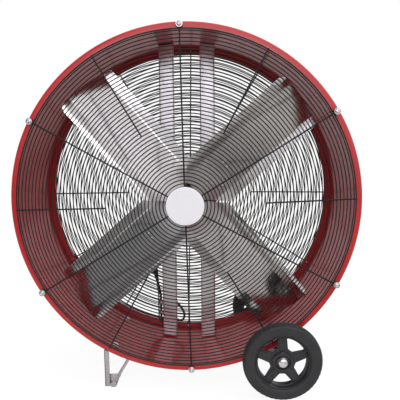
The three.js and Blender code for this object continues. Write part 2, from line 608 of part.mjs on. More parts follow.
export default group;
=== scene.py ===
# Drum fan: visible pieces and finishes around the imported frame.
import math
import bpy
import bmesh
import numpy as np
from mathutils import Matrix, Vector


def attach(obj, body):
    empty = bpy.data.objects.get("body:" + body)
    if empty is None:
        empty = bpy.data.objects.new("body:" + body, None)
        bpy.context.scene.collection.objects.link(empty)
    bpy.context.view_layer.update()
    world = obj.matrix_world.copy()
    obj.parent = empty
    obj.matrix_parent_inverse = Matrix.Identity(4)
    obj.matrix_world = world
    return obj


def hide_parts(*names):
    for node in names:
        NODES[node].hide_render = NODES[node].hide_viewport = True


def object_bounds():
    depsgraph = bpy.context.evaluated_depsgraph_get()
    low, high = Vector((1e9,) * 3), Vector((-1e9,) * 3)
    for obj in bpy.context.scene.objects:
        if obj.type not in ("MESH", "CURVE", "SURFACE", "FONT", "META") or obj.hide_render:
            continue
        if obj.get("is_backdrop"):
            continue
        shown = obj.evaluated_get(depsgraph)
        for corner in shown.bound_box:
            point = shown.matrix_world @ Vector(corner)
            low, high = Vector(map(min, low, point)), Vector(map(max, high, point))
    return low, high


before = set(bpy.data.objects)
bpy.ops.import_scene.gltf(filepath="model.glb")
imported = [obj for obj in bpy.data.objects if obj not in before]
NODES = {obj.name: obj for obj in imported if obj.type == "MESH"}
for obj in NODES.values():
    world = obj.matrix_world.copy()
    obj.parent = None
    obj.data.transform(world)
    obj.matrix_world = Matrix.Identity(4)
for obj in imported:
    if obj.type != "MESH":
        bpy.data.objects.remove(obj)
CAD_BOX = [list(v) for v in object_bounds()]

# ------------------------------------------------------------ dimensions, mm
AX = 620.0                      # height of the fan axis
DRUM_R, DRUM_HALF, LIP_R, LIP_IN = 562.0, 178.0, 12.0, 539.0
GUARD_EDGE_R, GUARD_DOME, GUARD_Y = 545.0, 36.0, 181.0
RING_PITCH, RING_COUNT, RING_WIRE = 11.3, 42, 1.75
CENTRE_R, SCREW_CIRCLE, RIM_WIRE_R = 57.5, 550.0, 538.5
FRONT_DEG, REAR_DEG, SHORT_IN_R = 31.4, 29.0, 248.0
BLADE_DEG, BLADE_ROOT, BLADE_TIP = 41.3, 44.0, 517.0
BLADE_Y, BLADE_PITCH, BLADE_T, BLADE_CAMBER = -80.0, 23.0, 2.2, 11.0
BLADE_HALF = 102.0
# section across a paddle: distance from its middle, height above the pitch plane
SECTION = ((-102.0, -5.0), (-66.0, 10.5), (-33.0, 11.0), (0.0, 11.0), (33.0, 11.0), (64.0, 10.5), (87.0, 4.5), (102.0, 9.0))
STRUT_X, STRUT_W, STRUT_D, STRUT_T, STRUT_Y = (-77.5, 71.5), 54.0, 28.0, 2.5, 71.0
MOTOR_X, MOTOR_Z, MOTOR_R = -195.0, 452.0, 75.0
PULLEY_Y, PULLEY_W = 30.0, 20.0
WHEEL_X, WHEEL_R, WHEEL_Y, TYRE_W, HUB_OUT = 303.0, 126.0, 240.0, 40.0, -9.0
LEG_Y, LEG_D = 152.0, 40.0
R0 = DRUM_R + 0.4


def rad(d):
    return d * math.pi / 180.0


def dome_y(r):
    return GUARD_Y + GUARD_DOME * (1 - (r / GUARD_EDGE_R) ** 2)


# ------------------------------------------------------------ camera
def make_camera():
    data = bpy.data.cameras.new("camera")
    ob = bpy.data.objects.new("camera", data)
    bpy.context.scene.collection.objects.link(ob)
    pitch, yaw, roll = rad(6.70), rad(-0.71), rad(-0.43)
    fwd = Vector((math.sin(yaw) * math.cos(pitch), math.cos(yaw) * math.cos(pitch), -math.sin(pitch)))
    right0 = fwd.cross(Vector((0, 0, 1))).normalized()
    up0 = right0.cross(fwd)
    right = right0 * math.cos(roll) + up0 * math.sin(roll)
    up = up0 * math.cos(roll) - right0 * math.sin(roll)
    m = Matrix((right, up, -fwd)).transposed().to_4x4()
    m.translation = Vector((0.062, -1.519, 0.791))
    ob.matrix_world = m
    data.sensor_fit = "HORIZONTAL"
    data.sensor_width = 36.0
    data.lens = 425.1 / 400.0 * 36.0
    data.clip_start, data.clip_end = 0.05, 100.0
    bpy.context.scene.camera = ob


make_camera()
bpy.context.scene.view_settings.view_transform = "Standard"
bpy.context.scene.view_settings.look = "None"


# ------------------------------------------------------------ mesh building
class Shape:
    """Vertices in millimetres, faces and a material index for each face."""

    def __init__(self):
        self.v, self.f, self.m = [], [], []

    def add(self, part, m=0, matrix=None):
        verts, faces = part
        off = len(self.v)
        if matrix is not None:
            verts = [tuple(matrix @ Vector(p)) for p in verts]
        self.v.extend(tuple(map(float, p)) for p in verts)
        self.f.extend(tuple(i + off for i in f) for f in faces)
        self.m.extend([m] * len(faces))
        return self


def at(x, y, z):
    return Matrix.Translation((x, y, z))


def turn(axis, degrees):
    return Matrix.Rotation(rad(degrees), 4, axis)


def spun(degrees):
    """About the fan axis: from +X towards +Z."""
    return Matrix.Rotation(-rad(degrees), 4, "Y")


AXIS = at(0, 0, AX)
FLIP = Matrix.Rotation(math.pi, 4, "X")
# flat outlines are drawn in (x, z); local Z becomes -Y
UPRIGHT = Matrix(((1, 0, 0, 0), (0, 0, -1, 0), (0, 1, 0, 0), (0, 0, 0, 1)))


def lathe(profile, n, a0=0.0, bump=None):
    """Profile points are (radius, y). Closed on the axis where it starts and ends there, else a closed ring."""
    poles = profile[0][0] < 1e-6 and profile[-1][0] < 1e-6
    pts = profile[1:-1] if poles else profile
    verts, faces = [], []
    for k, (r, y) in enumerate(pts):
        for i in range(n):
            a = a0 + 2 * math.pi * i / n
            rr = r if bump is None else bump(k, i, r)
            verts.append((rr * math.cos(a), y, rr * math.sin(a)))
    rows = len(pts)
    for k in range(rows if not poles else rows - 1):
        k2 = (k + 1) % rows
        for i in range(n):
            j = (i + 1) % n
            faces.append((k * n + i, k2 * n + i, k2 * n + j, k * n + j))
    if poles:
        s = len(verts)
        verts.append((0, profile[0][1], 0))
        e = len(verts)
        verts.append((0, profile[-1][1], 0))
        for i in range(n):
            j = (i + 1) % n
            faces.append((s, i, j))
            faces.append((e, (rows - 1) * n + j, (rows - 1) * n + i))
    return verts, faces


def torus(major, minor, y, n=160, m=8):
    return lathe([(major + minor * math.cos(2 * math.pi * k / m), y + minor * math.sin(2 * math.pi * k / m)) for k in range(m)], n)


def arc(cx, cy, r, a0, a1, n):
    return [(cx + r * math.cos(rad(a0 + (a1 - a0) * i / n)), cy + r * math.sin(rad(a0 + (a1 - a0) * i / n))) for i in range(n + 1)]


def circle(r, n, x=0.0, z=0.0, a0=0.0):
    return [(x + r * math.cos(a0 + 2 * math.pi * i / n), z + r * math.sin(a0 + 2 * math.pi * i / n)) for i in range(n)]


def rounded(poly, r, n=4):
    """Polygon with its corners rounded; r is one radius or one for each corner."""
    out = []
    count = len(poly)
    for i, p in enumerate(poly):
        ri = r[i] if hasattr(r, "__len__") else r
        p = np.array(p, float)
        a = np.array(poly[i - 1], float) - p
        b = np.array(poly[(i + 1) % count], float) - p
        la, lb = np.linalg.norm(a), np.linalg.norm(b)
        a, b = a / la, b / lb
        angle = math.acos(max(-1, min(1, float(a @ b))))
        if ri <= 0 or abs(math.pi - angle) < 0.05:
            out.append(tuple(p))
            continue
        cut = min(ri / math.tan(angle / 2), 0.48 * la, 0.48 * lb)
        ri = cut * math.tan(angle / 2)
        centre = p + (a + b) / np.linalg.norm(a + b) * (ri / math.sin(angle / 2))
        s, e = p + a * cut - centre, p + b * cut - centre
        for k in range(n + 1):
            t = k / n
            w = s * (1 - t) + e * t
            out.append(tuple(centre + w / np.linalg.norm(w) * ri))
    return out


def rect(x0, x1, z0, z1):
    return [(x0, z0), (x1, z0), (x1, z1), (x0, z1)]


def prism(outline, d0, d1, holes=(), bevel=0.0, res=2):
    """Flat outline given thickness from d0 to d1 along its local Z, with rounded edges."""
    curve = bpy.data.curves.new("outline", "CURVE")
    curve.dimensions = "2D"
    curve.fill_mode = "BOTH"
    bevel = min(bevel, (d1 - d0) * 0.45)
    curve.extrude = (d1 - d0) / 2 - bevel
    curve.bevel_depth = bevel
    curve.bevel_resolution = res
    curve.offset = -bevel
    for loop in [outline, *holes]:
        s = curve.splines.new("POLY")
        s.points.add(len(loop) - 1)
        for q, (x, z) in zip(s.points, loop):
            q.co = (x, z, 0, 1)
        s.use_cyclic_u = True
    ob = bpy.data.objects.new("outline", curve)
    bpy.context.scene.collection.objects.link(ob)
    dg = bpy.context.evaluated_depsgraph_get()
    me = bpy.data.meshes.new_from_object(ob.evaluated_get(dg))
    bm = bmesh.new()
    bm.from_mesh(me)
    bmesh.ops.remove_doubles(bm, verts=bm.verts, dist=1e-3)
    bmesh.ops.recalc_face_normals(bm, faces=bm.faces)
    verts = [(v.co.x, v.co.y, v.co.z + (d0 + d1) / 2) for v in bm.verts]
    faces = [tuple(v.index for v in f.verts) for f in bm.faces]
    bm.free()
    bpy.data.objects.remove(ob)
    bpy.data.curves.remove(curve)
    bpy.data.meshes.remove(me)
    return verts, faces


def slab(outline, y0, y1, holes=(), bevel=0.6, res=2):
    """Flat outline in (x, z) between y0 and y1."""
    verts, faces = prism(outline, -y1, -y0, holes, bevel, res)
    return [(x, -d, z) for x, z, d in verts], [tuple(reversed(f)) for f in faces]


def block(x0, x1, y0, y1, z0, z1, bevel=1.0, segments=2):
    bm = bmesh.new()
    bmesh.ops.create_cube(bm, size=1.0)
    for v in bm.verts:
        v.co = Vector(((x0 + x1) / 2 + v.co.x * (x1 - x0), (y0 + y1) / 2 + v.co.y * (y1 - y0), (z0 + z1) / 2 + v.co.z * (z1 - z0)))
    bmesh.ops.bevel(bm, geom=bm.edges[:], offset=bevel, segments=segments, affect="EDGES", profile=0.6)
    bm.verts.index_update()
    out = [tuple(v.co) for v in bm.verts], [tuple(v.index for v in f.verts) for f in bm.faces]
    bm.free()
    return out


def smooth_path(points, n):
    """Centripetal Catmull-Rom curve through the points."""
    P = np.array(points, float)
    P = np.vstack([2 * P[0] - P[1], P, 2 * P[-1] - P[-2]])
    out = []
    for i in range(1, len(P) - 2):
        p0, p1, p2, p3 = P[i - 1], P[i], P[i + 1], P[i + 2]
        t0 = 0.0
        t1 = t0 + np.linalg.norm(p1 - p0) ** 0.5
        t2 = t1 + np.linalg.norm(p2 - p1) ** 0.5
        t3 = t2 + np.linalg.norm(p3 - p2) ** 0.5
        for k in range(n):
            t = t1 + (t2 - t1) * k / n
            a1 = (t1 - t) / (t1 - t0) * p0 + (t - t0) / (t1 - t0) * p1
            a2 = (t2 - t) / (t2 - t1) * p1 + (t - t1) / (t2 - t1) * p2
            a3 = (t3 - t) / (t3 - t2) * p2 + (t - t2) / (t3 - t2) * p3
            b1 = (t2 - t) / (t2 - t0) * a1 + (t - t0) / (t2 - t0) * a2
            b2 = (t3 - t) / (t3 - t1) * a2 + (t - t1) / (t3 - t1) * a3
            out.append((t2 - t) / (t2 - t1) * b1 + (t - t1) / (t2 - t1) * b2)
    out.append(P[-2])
    return [tuple(p) for p in out]


def tube(points, radius, m=10, caps=True):
    P = np.array(points, float)
    n = len(P)
    r = np.full(n, radius) if np.isscalar(radius) else np.array(radius, float)
    T = np.gradient(P, axis=0)
    T /= np.linalg.norm(T, axis=1)[:, None]
    u = np.cross(T[0], [0.3, 0.5, 0.8])
    u /= np.linalg.norm(u)
    verts, faces = [], []
    for i in range(n):
        u = u - T[i] * (u @ T[i])
        u /= np.linalg.norm(u)
        w = np.cross(T[i], u)
        for k in range(m):
            a = 2 * math.pi * k / m
            verts.append(tuple(P[i] + r[i] * (u * math.cos(a) + w * math.sin(a))))
    for i in range(n - 1):
        for k in range(m):
            j = (k + 1) % m
            faces.append((i * m + k, i * m + j, (i + 1) * m + j, (i + 1) * m + k))
    if caps:
        faces.append(tuple(reversed(range(m))))
        faces.append(tuple(range((n - 1) * m, n * m)))
    return verts, faces


def hexagon(across, y0, y1, bevel=0.6):
    return slab(circle(across / math.sqrt(3), 6), y0, y1, bevel=bevel)


def make(name, shape, mats, body="root", stands_for=(), angle=32.0, origin=None):
    """Mesh object in metres from a shape in millimetres. origin gives it a frame of its own."""
    me = bpy.data.meshes.new(name)
    me.from_pydata((np.array(shape.v, float) * 0.001).tolist(), [], shape.f)
    for m in mats if isinstance(mats, (list, tuple)) else [mats]:
        me.materials.append(m)
    if any(shape.m):
        me.polygons.foreach_set("material_index", shape.m)
    bm = bmesh.new()
    bm.from_mesh(me)
    bmesh.ops.recalc_face_normals(bm, faces=bm.faces)
    bm.to_mesh(me)
    bm.free()
    me.shade_smooth()
    me.set_sharp_from_angle(angle=rad(angle))
    me.update()
    ob = bpy.data.objects.new(name, me)
    bpy.context.scene.collection.objects.link(ob)
    if origin is not None:
        m = origin.copy()
        m.translation = m.translation * 0.001
        ob.matrix_world = m
    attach(ob, body)
    if stands_for:
        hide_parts(*([stands_for] if isinstance(stands_for, str) else stands_for))
    return ob


# ------------------------------------------------------------ finishes
class Finish:
    """A material with its shader and short ways to add nodes."""

    def __init__(self, name, color, rough, metal=0.0, **more):
        self.mat = bpy.data.materials.new(name)
        self.mat.use_nodes = True
        self.t = self.mat.node_tree
        self.b = self.t.nodes["Principled BSDF"]
        self.b.inputs["Base Color"].default_value = (*color, 1)
        self.b.inputs["Roughness"].default_value = rough
        self.b.inputs["Metallic"].default_value = metal
        for k, v in more.items():
            self.b.inputs[k.replace("_", " ")].default_value = v
        self.coord = self.t.nodes.new("ShaderNodeTexCoord")

    def node(self, kind, **props):
        n = self.t.nodes.new(kind)
        for k, v in props.items():
            setattr(n, k, v)
        return n

    def link(self, a, b):
        self.t.links.new(a, b)

    def place(self, scale=(1, 1, 1)):
        m = self.node("ShaderNodeMapping")
        m.inputs["Scale"].default_value = scale
        self.link(self.coord.outputs["Object"], m.inputs["Vector"])
        return m.outputs["Vector"]

    def noise(self, scale, detail=3.0, rough=0.55, stretch=(1, 1, 1)):
        n = self.node("ShaderNodeTexNoise")
        n.inputs["Scale"].default_value = scale
        n.inputs["Detail"].default_value = detail
        n.inputs["Roughness"].default_value = rough
        self.link(self.place(stretch), n.inputs["Vector"])
        return n.outputs["Fac"]

    def spread(self, fac, lo, hi, f0=0.3, f1=0.7):
        m = self.node("ShaderNodeMapRange")
        m.inputs["From Min"].default_value = f0
        m.inputs["From Max"].default_value = f1
        m.inputs["To Min"].default_value = lo
        m.inputs["To Max"].default_value = hi
        self.link(fac, m.inputs["Value"])
        return m.outputs["Result"]

    def ramp(self, fac, stops):
        r = self.node("ShaderNodeValToRGB")
        e = r.color_ramp.elements
        while len(e) < len(stops):
            e.new(0.5)
        for k, (p, c) in zip(e, stops):
            k.position = p
            k.color = (*c, 1)
        self.link(fac, r.inputs["Fac"])
        return r.outputs["Color"]

    def color(self, fac, stops):
        self.link(self.ramp(fac, stops), self.b.inputs["Base Color"])
        return self

    def rough(self, fac, lo, hi):
        self.link(self.spread(fac, lo, hi), self.b.inputs["Roughness"])
        return self

    def bump(self, fac, strength, distance=0.001):
        n = self.node("ShaderNodeBump")
        n.inputs["Strength"].default_value = strength
        n.inputs["Distance"].default_value = distance
        self.link(fac, n.inputs["Height"])
        if self.b.inputs["Normal"].is_linked:
            self.link(self.b.inputs["Normal"].links[0].from_socket, n.inputs["Normal"])
        self.link(n.outputs["Normal"], self.b.inputs["Normal"])
        return self


def shades(c, low, high):
    return tuple(x * low for x in c), tuple(min(1.0, x * high) for x in c)


def painted(name, color, r0, r1, coat=0.0, coat_rough=0.1, peel=0.12, low=0.88, high=1.08, spec=0.5):
    f = Finish(name, color, r0)
    f.b.inputs["Coat Weight"].default_value = coat
    f.b.inputs["Coat Roughness"].default_value = coat_rough
    f.b.inputs["Specular IOR Level"].default_value = spec
    a, b = shades(color, low, high)
    f.color(f.noise(9.0, 4.0), [(0.3, a), (0.7, b)])
    f.rough(f.noise(35.0, 5.0), r0, r1)
    f.bump(f.noise(420.0, 2.0), peel, 0.0004)
    return f.mat


def galvanised(name, color, r0, r1):
    """Zinc-dipped sheet: crystal patches of slightly different tone and gloss."""
    f = Finish(name, color, r0, 0.9)
    v = f.node("ShaderNodeTexVoronoi")
    v.inputs["Scale"].default_value = 85.0
    v.inputs["Randomness"].default_value = 1.0
    f.link(f.place(), v.inputs["Vector"])
    grey = f.node("ShaderNodeRGBToBW")
    f.link(v.outputs["Color"], grey.inputs["Color"])
    mixed = f.node("ShaderNodeMath", operation="MULTIPLY_ADD")
    mixed.inputs[1].default_value = 0.38
    f.link(grey.outputs["Val"], mixed.inputs[0])
    cloud = f.spread(f.noise(7.0, 5.0), 0.0, 0.45)
    f.link(cloud, mixed.inputs[2])
    a, b = shades(color, 0.88, 1.06)
    f.color(mixed.outputs[0], [(0.15, a), (0.75, b)])
    f.rough(mixed.outputs[0], r0, r1)
    f.bump(f.noise(260.0, 3.0), 0.05, 0.0003)
    return f.mat


def brushed(name, color, r0, r1, along="X", metal=1.0, low=0.86, high=1.08, root=0.0):
    """Metal with fine lines along one axis of the piece. root: how much duller it is close to the hub, from handling."""
    stretch = {"X": (2, 160, 160), "Y": (160, 2, 160), "Z": (160, 160, 2)}[along]
    f = Finish(name, color, r0, metal)
    lines = f.noise(3.0, 4.0, 0.6, stretch)
    soft = f.noise(5.0, 3.0)
    mix = f.node("ShaderNodeMath", operation="ADD")
    f.link(f.spread(lines, 0.0, 0.6), mix.inputs[0])
    f.link(f.spread(soft, 0.0, 0.4), mix.inputs[1])
    a, b = shades(color, low, high)
    f.color(mix.outputs[0], [(0.1, a), (0.9, b)])
    f.rough(mix.outputs[0], r1, r0)
    if root:
        axes = f.node("ShaderNodeSeparateXYZ")
        f.link(f.coord.outputs["Object"], axes.inputs["Vector"])
        total = f.node("ShaderNodeMath", operation="ADD")
        f.link(f.b.inputs["Roughness"].links[0].from_socket, total.inputs[0])
        f.link(f.spread(axes.outputs["X"], root, 0.0, 0.085, 0.15), total.inputs[1])
        f.link(total.outputs[0], f.b.inputs["Roughness"])
    f.bump(lines, 0.04, 0.0003)
    return f.mat


def moulded(name, color, r0, r1, grain=0.25, scale=900.0, low=0.85, high=1.25):
    f = Finish(name, color, r0)
    a, b = shades(color, low, high)
    f.color(f.noise(22.0, 5.0), [(0.3, a), (0.7, b)])
    f.rough(f.noise(60.0, 4.0), r0, r1)
    f.bump(f.noise(scale, 2.0), grain, 0.0003)
    return f.mat


RED = painted("drum_red", (0.52, 0.014, 0.016), 0.34, 0.44, coat=0.7, coat_rough=0.13, peel=0.04, low=0.93, high=1.05, spec=0.3)
# painted shade: a slightly darker, deeper copy of the drum red for the inside of the drum, standing in for the shade in
# there
RED_IN_SHADE = painted("drum_red_inside_painted_shade", (0.54, 0.010, 0.013), 0.36, 0.46, coat=0.8, coat_rough=0.14, peel=0.04, low=0.85, high=1.1, spec=0.2)
WIRE = painted("guard_black", (0.017, 0.016, 0.017), 0.36, 0.48, peel=0.08, low=0.8, high=1.3, spec=0.22)
GALV = galvanised("galvanised", (0.84, 0.845, 0.85), 0.32, 0.46)
GALV_DULL = galvanised("galvanised_dull", (0.56, 0.555, 0.56), 0.34, 0.5)
ZINC = brushed("zinc", (0.74, 0.75, 0.77), 0.18, 0.32, "Y")
ALU = brushed("blade_aluminium", (0.83, 0.815, 0.80), 0.10, 0.17, "X", low=0.95, high=1.04, root=0.34)
RIVET = brushed("rivet", (0.72, 0.71, 0.70), 0.25, 0.35, "Y")
CAST = painted("cast_dark", (0.06, 0.062, 0.066), 0.42, 0.6, peel=0.4, low=0.75, high=1.3)
HUB_PAINT = painted("hub_grey", (0.085, 0.087, 0.092), 0.36, 0.5, peel=0.15)
STEEL = brushed("shaft_steel", (0.46, 0.465, 0.475), 0.22, 0.36, "Y")
MACHINED = brushed("machined", (0.50, 0.50, 0.51), 0.25, 0.40, "Y")
BELL = painted("motor_bell", (0.40, 0.41, 0.42), 0.38, 0.52, peel=0.3)
BELL.node_tree.nodes["Principled BSDF"].inputs["Metallic"].default_value = 0.85
MOTOR = painted("motor_black", (0.022, 0.023, 0.026), 0.34, 0.46, peel=0.2, low=0.8, high=1.3)
PLASTIC = moulded("black_plastic", (0.022, 0.023, 0.025), 0.42, 0.58)
KNOB = moulded("knob_black", (0.02, 0.02, 0.022), 0.3, 0.42, grain=0.1)
MARK = painted("knob_mark", (0.75, 0.75, 0.74), 0.4, 0.5, peel=0.02)
BELT = moulded("belt_rubber", (0.018, 0.018, 0.018), 0.75, 0.9, grain=0.6, scale=1400.0)
LEAD_MAT = moulded("lead_rubber", (0.014, 0.014, 0.015), 0.42, 0.55, grain=0.1)
TYRE = moulded("tyre_rubber", (0.021, 0.022, 0.024), 0.5, 0.66, grain=0.35, scale=700.0)
RIM = moulded("wheel_plastic", (0.022, 0.023, 0.026), 0.24, 0.36, grain=0.06)
CHROME = Finish("chrome", (0.82, 0.82, 0.83), 0.06, 1.0)
CHROME.rough(CHROME.noise(40.0, 3.0), 0.05, 0.12)
CHROME = CHROME.mat
WHITE = moulded("badge_white", (0.88, 0.885, 0.91), 0.32, 0.42, grain=0.04, scale=500.0, low=0.98, high=1.02)
BLACK_EDGE = painted("badge_edge", (0.012, 0.012, 0.013), 0.3, 0.4, peel=0.05)


# ------------------------------------------------------------ drum
def drum():
    s = Shape()
    half = [
        *arc(DRUM_R - LIP_R, -DRUM_HALF + LIP_R, LIP_R, 0, -90, 12),
        (LIP_IN + 4, -DRUM_HALF),
        *arc(LIP_IN + 1.2, -DRUM_HALF + 1.2, 1.2, -90, -270, 5),
        (LIP_IN + 4, -DRUM_HALF + 2.2),
        *arc(DRUM_R - LIP_R, -DRUM_HALF + LIP_R, LIP_R - 2.2, -90, 0, 10),
    ]
    back = [
        *arc(DRUM_R - 5.2, DRUM_HALF - 5.2, 3.0, 0, 90, 5),
        (LIP_IN + 4, DRUM_HALF - 2.2),
        *arc(LIP_IN + 1.2, DRUM_HALF - 1.2, 1.2, 270, 90, 5),
        (LIP_IN + 4, DRUM_HALF),
        *arc(DRUM_R - LIP_R, DRUM_HALF - LIP_R, LIP_R, 90, 0, 12),
    ]
    s.add(lathe(half + back, 300), matrix=AXIS)
    # painted shade: faces inside the drum take the darker copy of the red
    for i, f in enumerate(s.f):
        c = np.mean([s.v[k] for k in f], axis=0)
        if math.hypot(c[0], c[2] - AX) < 560.9 and abs(c[1]) < DRUM_HALF - 2.1:
            s.m[i] = 1
    # lap joint of the rolled sheet, low at the back, with spot welds
    seam = []
    for d, r in ((0.0, 562.0), (0.15, 563.1), (1.9, 563.1), (2.05, 562.0)):
        seam.append((r * math.cos(rad(285 + d)), r * math.sin(rad(285 + d))))
    for d, r in ((2.05, 561.0), (0.0, 561.0)):
        seam.append((r * math.cos(rad(285 + d)), r * math.sin(rad(285 + d))))
    s.add(slab(seam, -165, 165, bevel=0.2), matrix=AXIS)
    for i in range(11):
        dot = lathe([(0, 0), (3.6, 0), (3.0, 0.5), (0, 0.7)], 12)
        m = AXIS @ spun(286) @ at(562.9, -150 + 30 * i, 0) @ turn("Z", -90)
        s.add(dot, matrix=m)
    make("drum_skin", s, [RED, RED_IN_SHADE], stands_for="drum_shell", angle=40)


# ------------------------------------------------------------ guards
def guard(side, first, short, tag):
    rings, bars = Shape(), Shape()
    flip = Matrix.Scale(side, 4, (0, 1, 0))
    for j in range(1, RING_COUNT + 1):
        r = CENTRE_R + RING_PITCH * j
        n = 72 if r < 120 else 120 if r < 260 else 180
        rings.add(torus(r, RING_WIRE, dome_y(r), n, 8), matrix=AXIS @ flip)
    rings.add(torus(RIM_WIRE_R, 2.0, dome_y(RIM_WIRE_R), 200, 8), matrix=AXIS @ flip)
    make(f"{tag}_guard_wires", rings, WIRE, stands_for=f"{tag}_guard_rings", angle=60)

    def bar(r0, r1, end_y=None):
        pts = []
        n = 16
        for i in range(n + 1):
            r = r0 + (r1 - r0) * i / n
            pts.append((r, dome_y(r) + RING_WIRE + 2.2, 0))
        if end_y is not None:
            pts[-1] = (r1, end_y, 0)
        return tube(pts, 2.4, 8)

    for k in range(6):
        turned = AXIS @ flip @ spun(first + 60 * k)
        bars.add(bar(46, SCREW_CIRCLE - 8.5, 186.2), matrix=turned)
        bars.add(torus(7.2, 2.3, 186.4, 28, 10), matrix=turned @ at(SCREW_CIRCLE, 0, 0))
        bars.add(lathe([(4.3, 178.2), (8.6, 178.2), (8.6, 184.0), (4.3, 184.0)], 24), matrix=turned @ at(SCREW_CIRCLE, 0, 0))
        bars.add(bar(SHORT_IN_R, RIM_WIRE_R + 1.5), matrix=AXIS @ flip @ spun(short + 60 * k))
    y = dome_y(0)
    plate = [(0, y + 0.6), (40, y + 0.6), (52, y - 0.6), (55.5, y - 0.2), (CENTRE_R, y + 1.6), (CENTRE_R, y + 3.4), (56, y + 3.6),
             (52, y + 2.2), (40, y + 3.4), (0, y + 3.6)]
    bars.add(lathe(plate, 64), matrix=AXIS @ flip)
    if side > 0:
        # rear centre: cover disc over the welded spoke ends
        cover = [(0, y + 5.0), (34, y + 5.0), (46, y + 4.6), (52, y + 7.0), (53, y + 8.4), (51, y + 9.0), (44, y + 7.2), (30, y + 8.6), (0, y + 9.4)]
        bars.add(lathe(cover, 64), matrix=AXIS @ flip)
    make(f"{tag}_guard_frame", bars, WIRE, stands_for=f"{tag}_guard_spokes", angle=60)


def badge():
    y = -(dome_y(0) + 7.6)
    s = Shape().add(lathe([(59.6, y + 0.2), (60.6, y + 0.2), (61, y - 0.8), (61, y - 3.2), (60.4, y - 3.9), (59.8, y - 3.6)], 96), 1, AXIS)
    s.add(lathe([(0, y), (59.7, y), (59.7, y - 3.1), (58.6, y - 3.6), (50, y - 3.2), (25, y - 3.9), (0, y - 4.1)], 96), 0, AXIS)
    make("badge_disc", s, [WHITE, BLACK_EDGE], stands_for="guard_badge", angle=50)


def screws():
    top = GUARD_Y + 8.1 + 0.4
    for side, first, tag in ((-1, FRONT_DEG, "front"), (1, REAR_DEG, "rear")):
        for k in range(6):
            a = rad(first + 60 * k)
            s = Shape()
            s.add(lathe([(0, 169), (2.9, 169), (2.9, top), (10.4, top), (10.4, top + 1.3), (10.0, top + 1.7), (8.4, top + 1.7), (8.4, top + 3.4), (7.6, top + 4.7),
                         (5.6, top + 5.7), (3.4, top + 6.0), (2.2, top + 5.2), (0, top + 5.0)], 28))
            base = FLIP if side < 0 else Matrix.Identity(4)
            m = at(SCREW_CIRCLE * math.cos(a), 0, AX + SCREW_CIRCLE * math.sin(a)) @ base
            t = Shape()
            t.add((s.v, s.f), matrix=m)
            make(f"{tag}_guard_screw_{k + 1}", t, ZINC, stands_for=f"{tag}_screw_{k + 1}", angle=35)


# ------------------------------------------------------------ struts and bolts
def struts():
    w, n = STRUT_W / 2, 0
    for i, x in enumerate(STRUT_X):
        r = 5.0
        outer = [(-w, STRUT_D), *arc(-w + r, r, r, 180, 270, 5), *arc(w - r, r, r, 270, 360, 5), (w, STRUT_D)]
        r2 = r - STRUT_T
        inner = [(w - STRUT_T, STRUT_D), *arc(w - r, r, r2, 360, 270, 5), *arc(-w + r, r, r2, 270, 180, 5), (-w + STRUT_T, STRUT_D)]
        loop = outer + inner
        verts, faces = [], []
        for end in (-1, 1):
            for px, py in loop:
                verts.append((x + px, STRUT_Y + py, AX + end * math.sqrt(555.3 ** 2 - (x + px) ** 2)))
        c = len(loop)
        for k in range(c):
            j = (k + 1) % c
            faces.append((k, j, c + j, c + k))
        h = len(outer)
        for off in (0, c):
            for k in range(h - 1):
                faces.append((off + k, off + k + 1, off + c - 2 - k, off + c - 1 - k))
        s = Shape().add((verts, faces))
        deg = math.degrees(math.acos(x / 558))
        for a in (deg, -deg):
            pad = []
            for k in range(9):
                t = (-w + 0.8 + (2 * w - 1.6) * k / 8) / 555.0
                pad.append((555.4 * math.cos(t), 555.4 * math.sin(t)))
            for k in reversed(range(9)):
                t = (-w + 0.8 + (2 * w - 1.6) * k / 8) / 555.0
                pad.append((552.6 * math.cos(t), 552.6 * math.sin(t)))
            s.add(slab(pad, STRUT_Y + 1, STRUT_Y + 40, bevel=0.7), matrix=AXIS @ spun(a))
        make("strut_channel_" + ("right" if i else "left"), s, GALV, stands_for="strut_right" if i else "strut_left", angle=30)
        for a in (deg, -deg):
            n += 1
            b = Shape()
            along = turn("Z", -90)     # local +Y becomes +X, away from the axis
            m = AXIS @ spun(a) @ at(0, STRUT_Y + 20, 0) @ along
            b.add(lathe([(0, 542.6), (3.2, 542.6), (3.9, 543.6), (3.9, DRUM_R + 0.5), (0, DRUM_R + 0.5)], 20), matrix=m)
            b.add(lathe([(4.2, DRUM_R + 0.3), (9.2, DRUM_R + 0.3), (9.2, DRUM_R + 1.5), (4.2, DRUM_R + 1.5)], 28), matrix=m)
            b.add(hexagon(13, DRUM_R + 1.5, DRUM_R + 6.3, 0.8), matrix=m)
            b.add(lathe([(4.2, 551.0), (8.6, 551.0), (8.6, 552.3), (4.2, 552.3)], 28), matrix=m)
            b.add(slab(circle(7.5, 6), 545.6, 551.0, [circle(3.95, 16)], 0.6), matrix=m)
            make(f"strut_fastener_{n}", b, ZINC, stands_for=f"strut_bolt_{n}", angle=35)


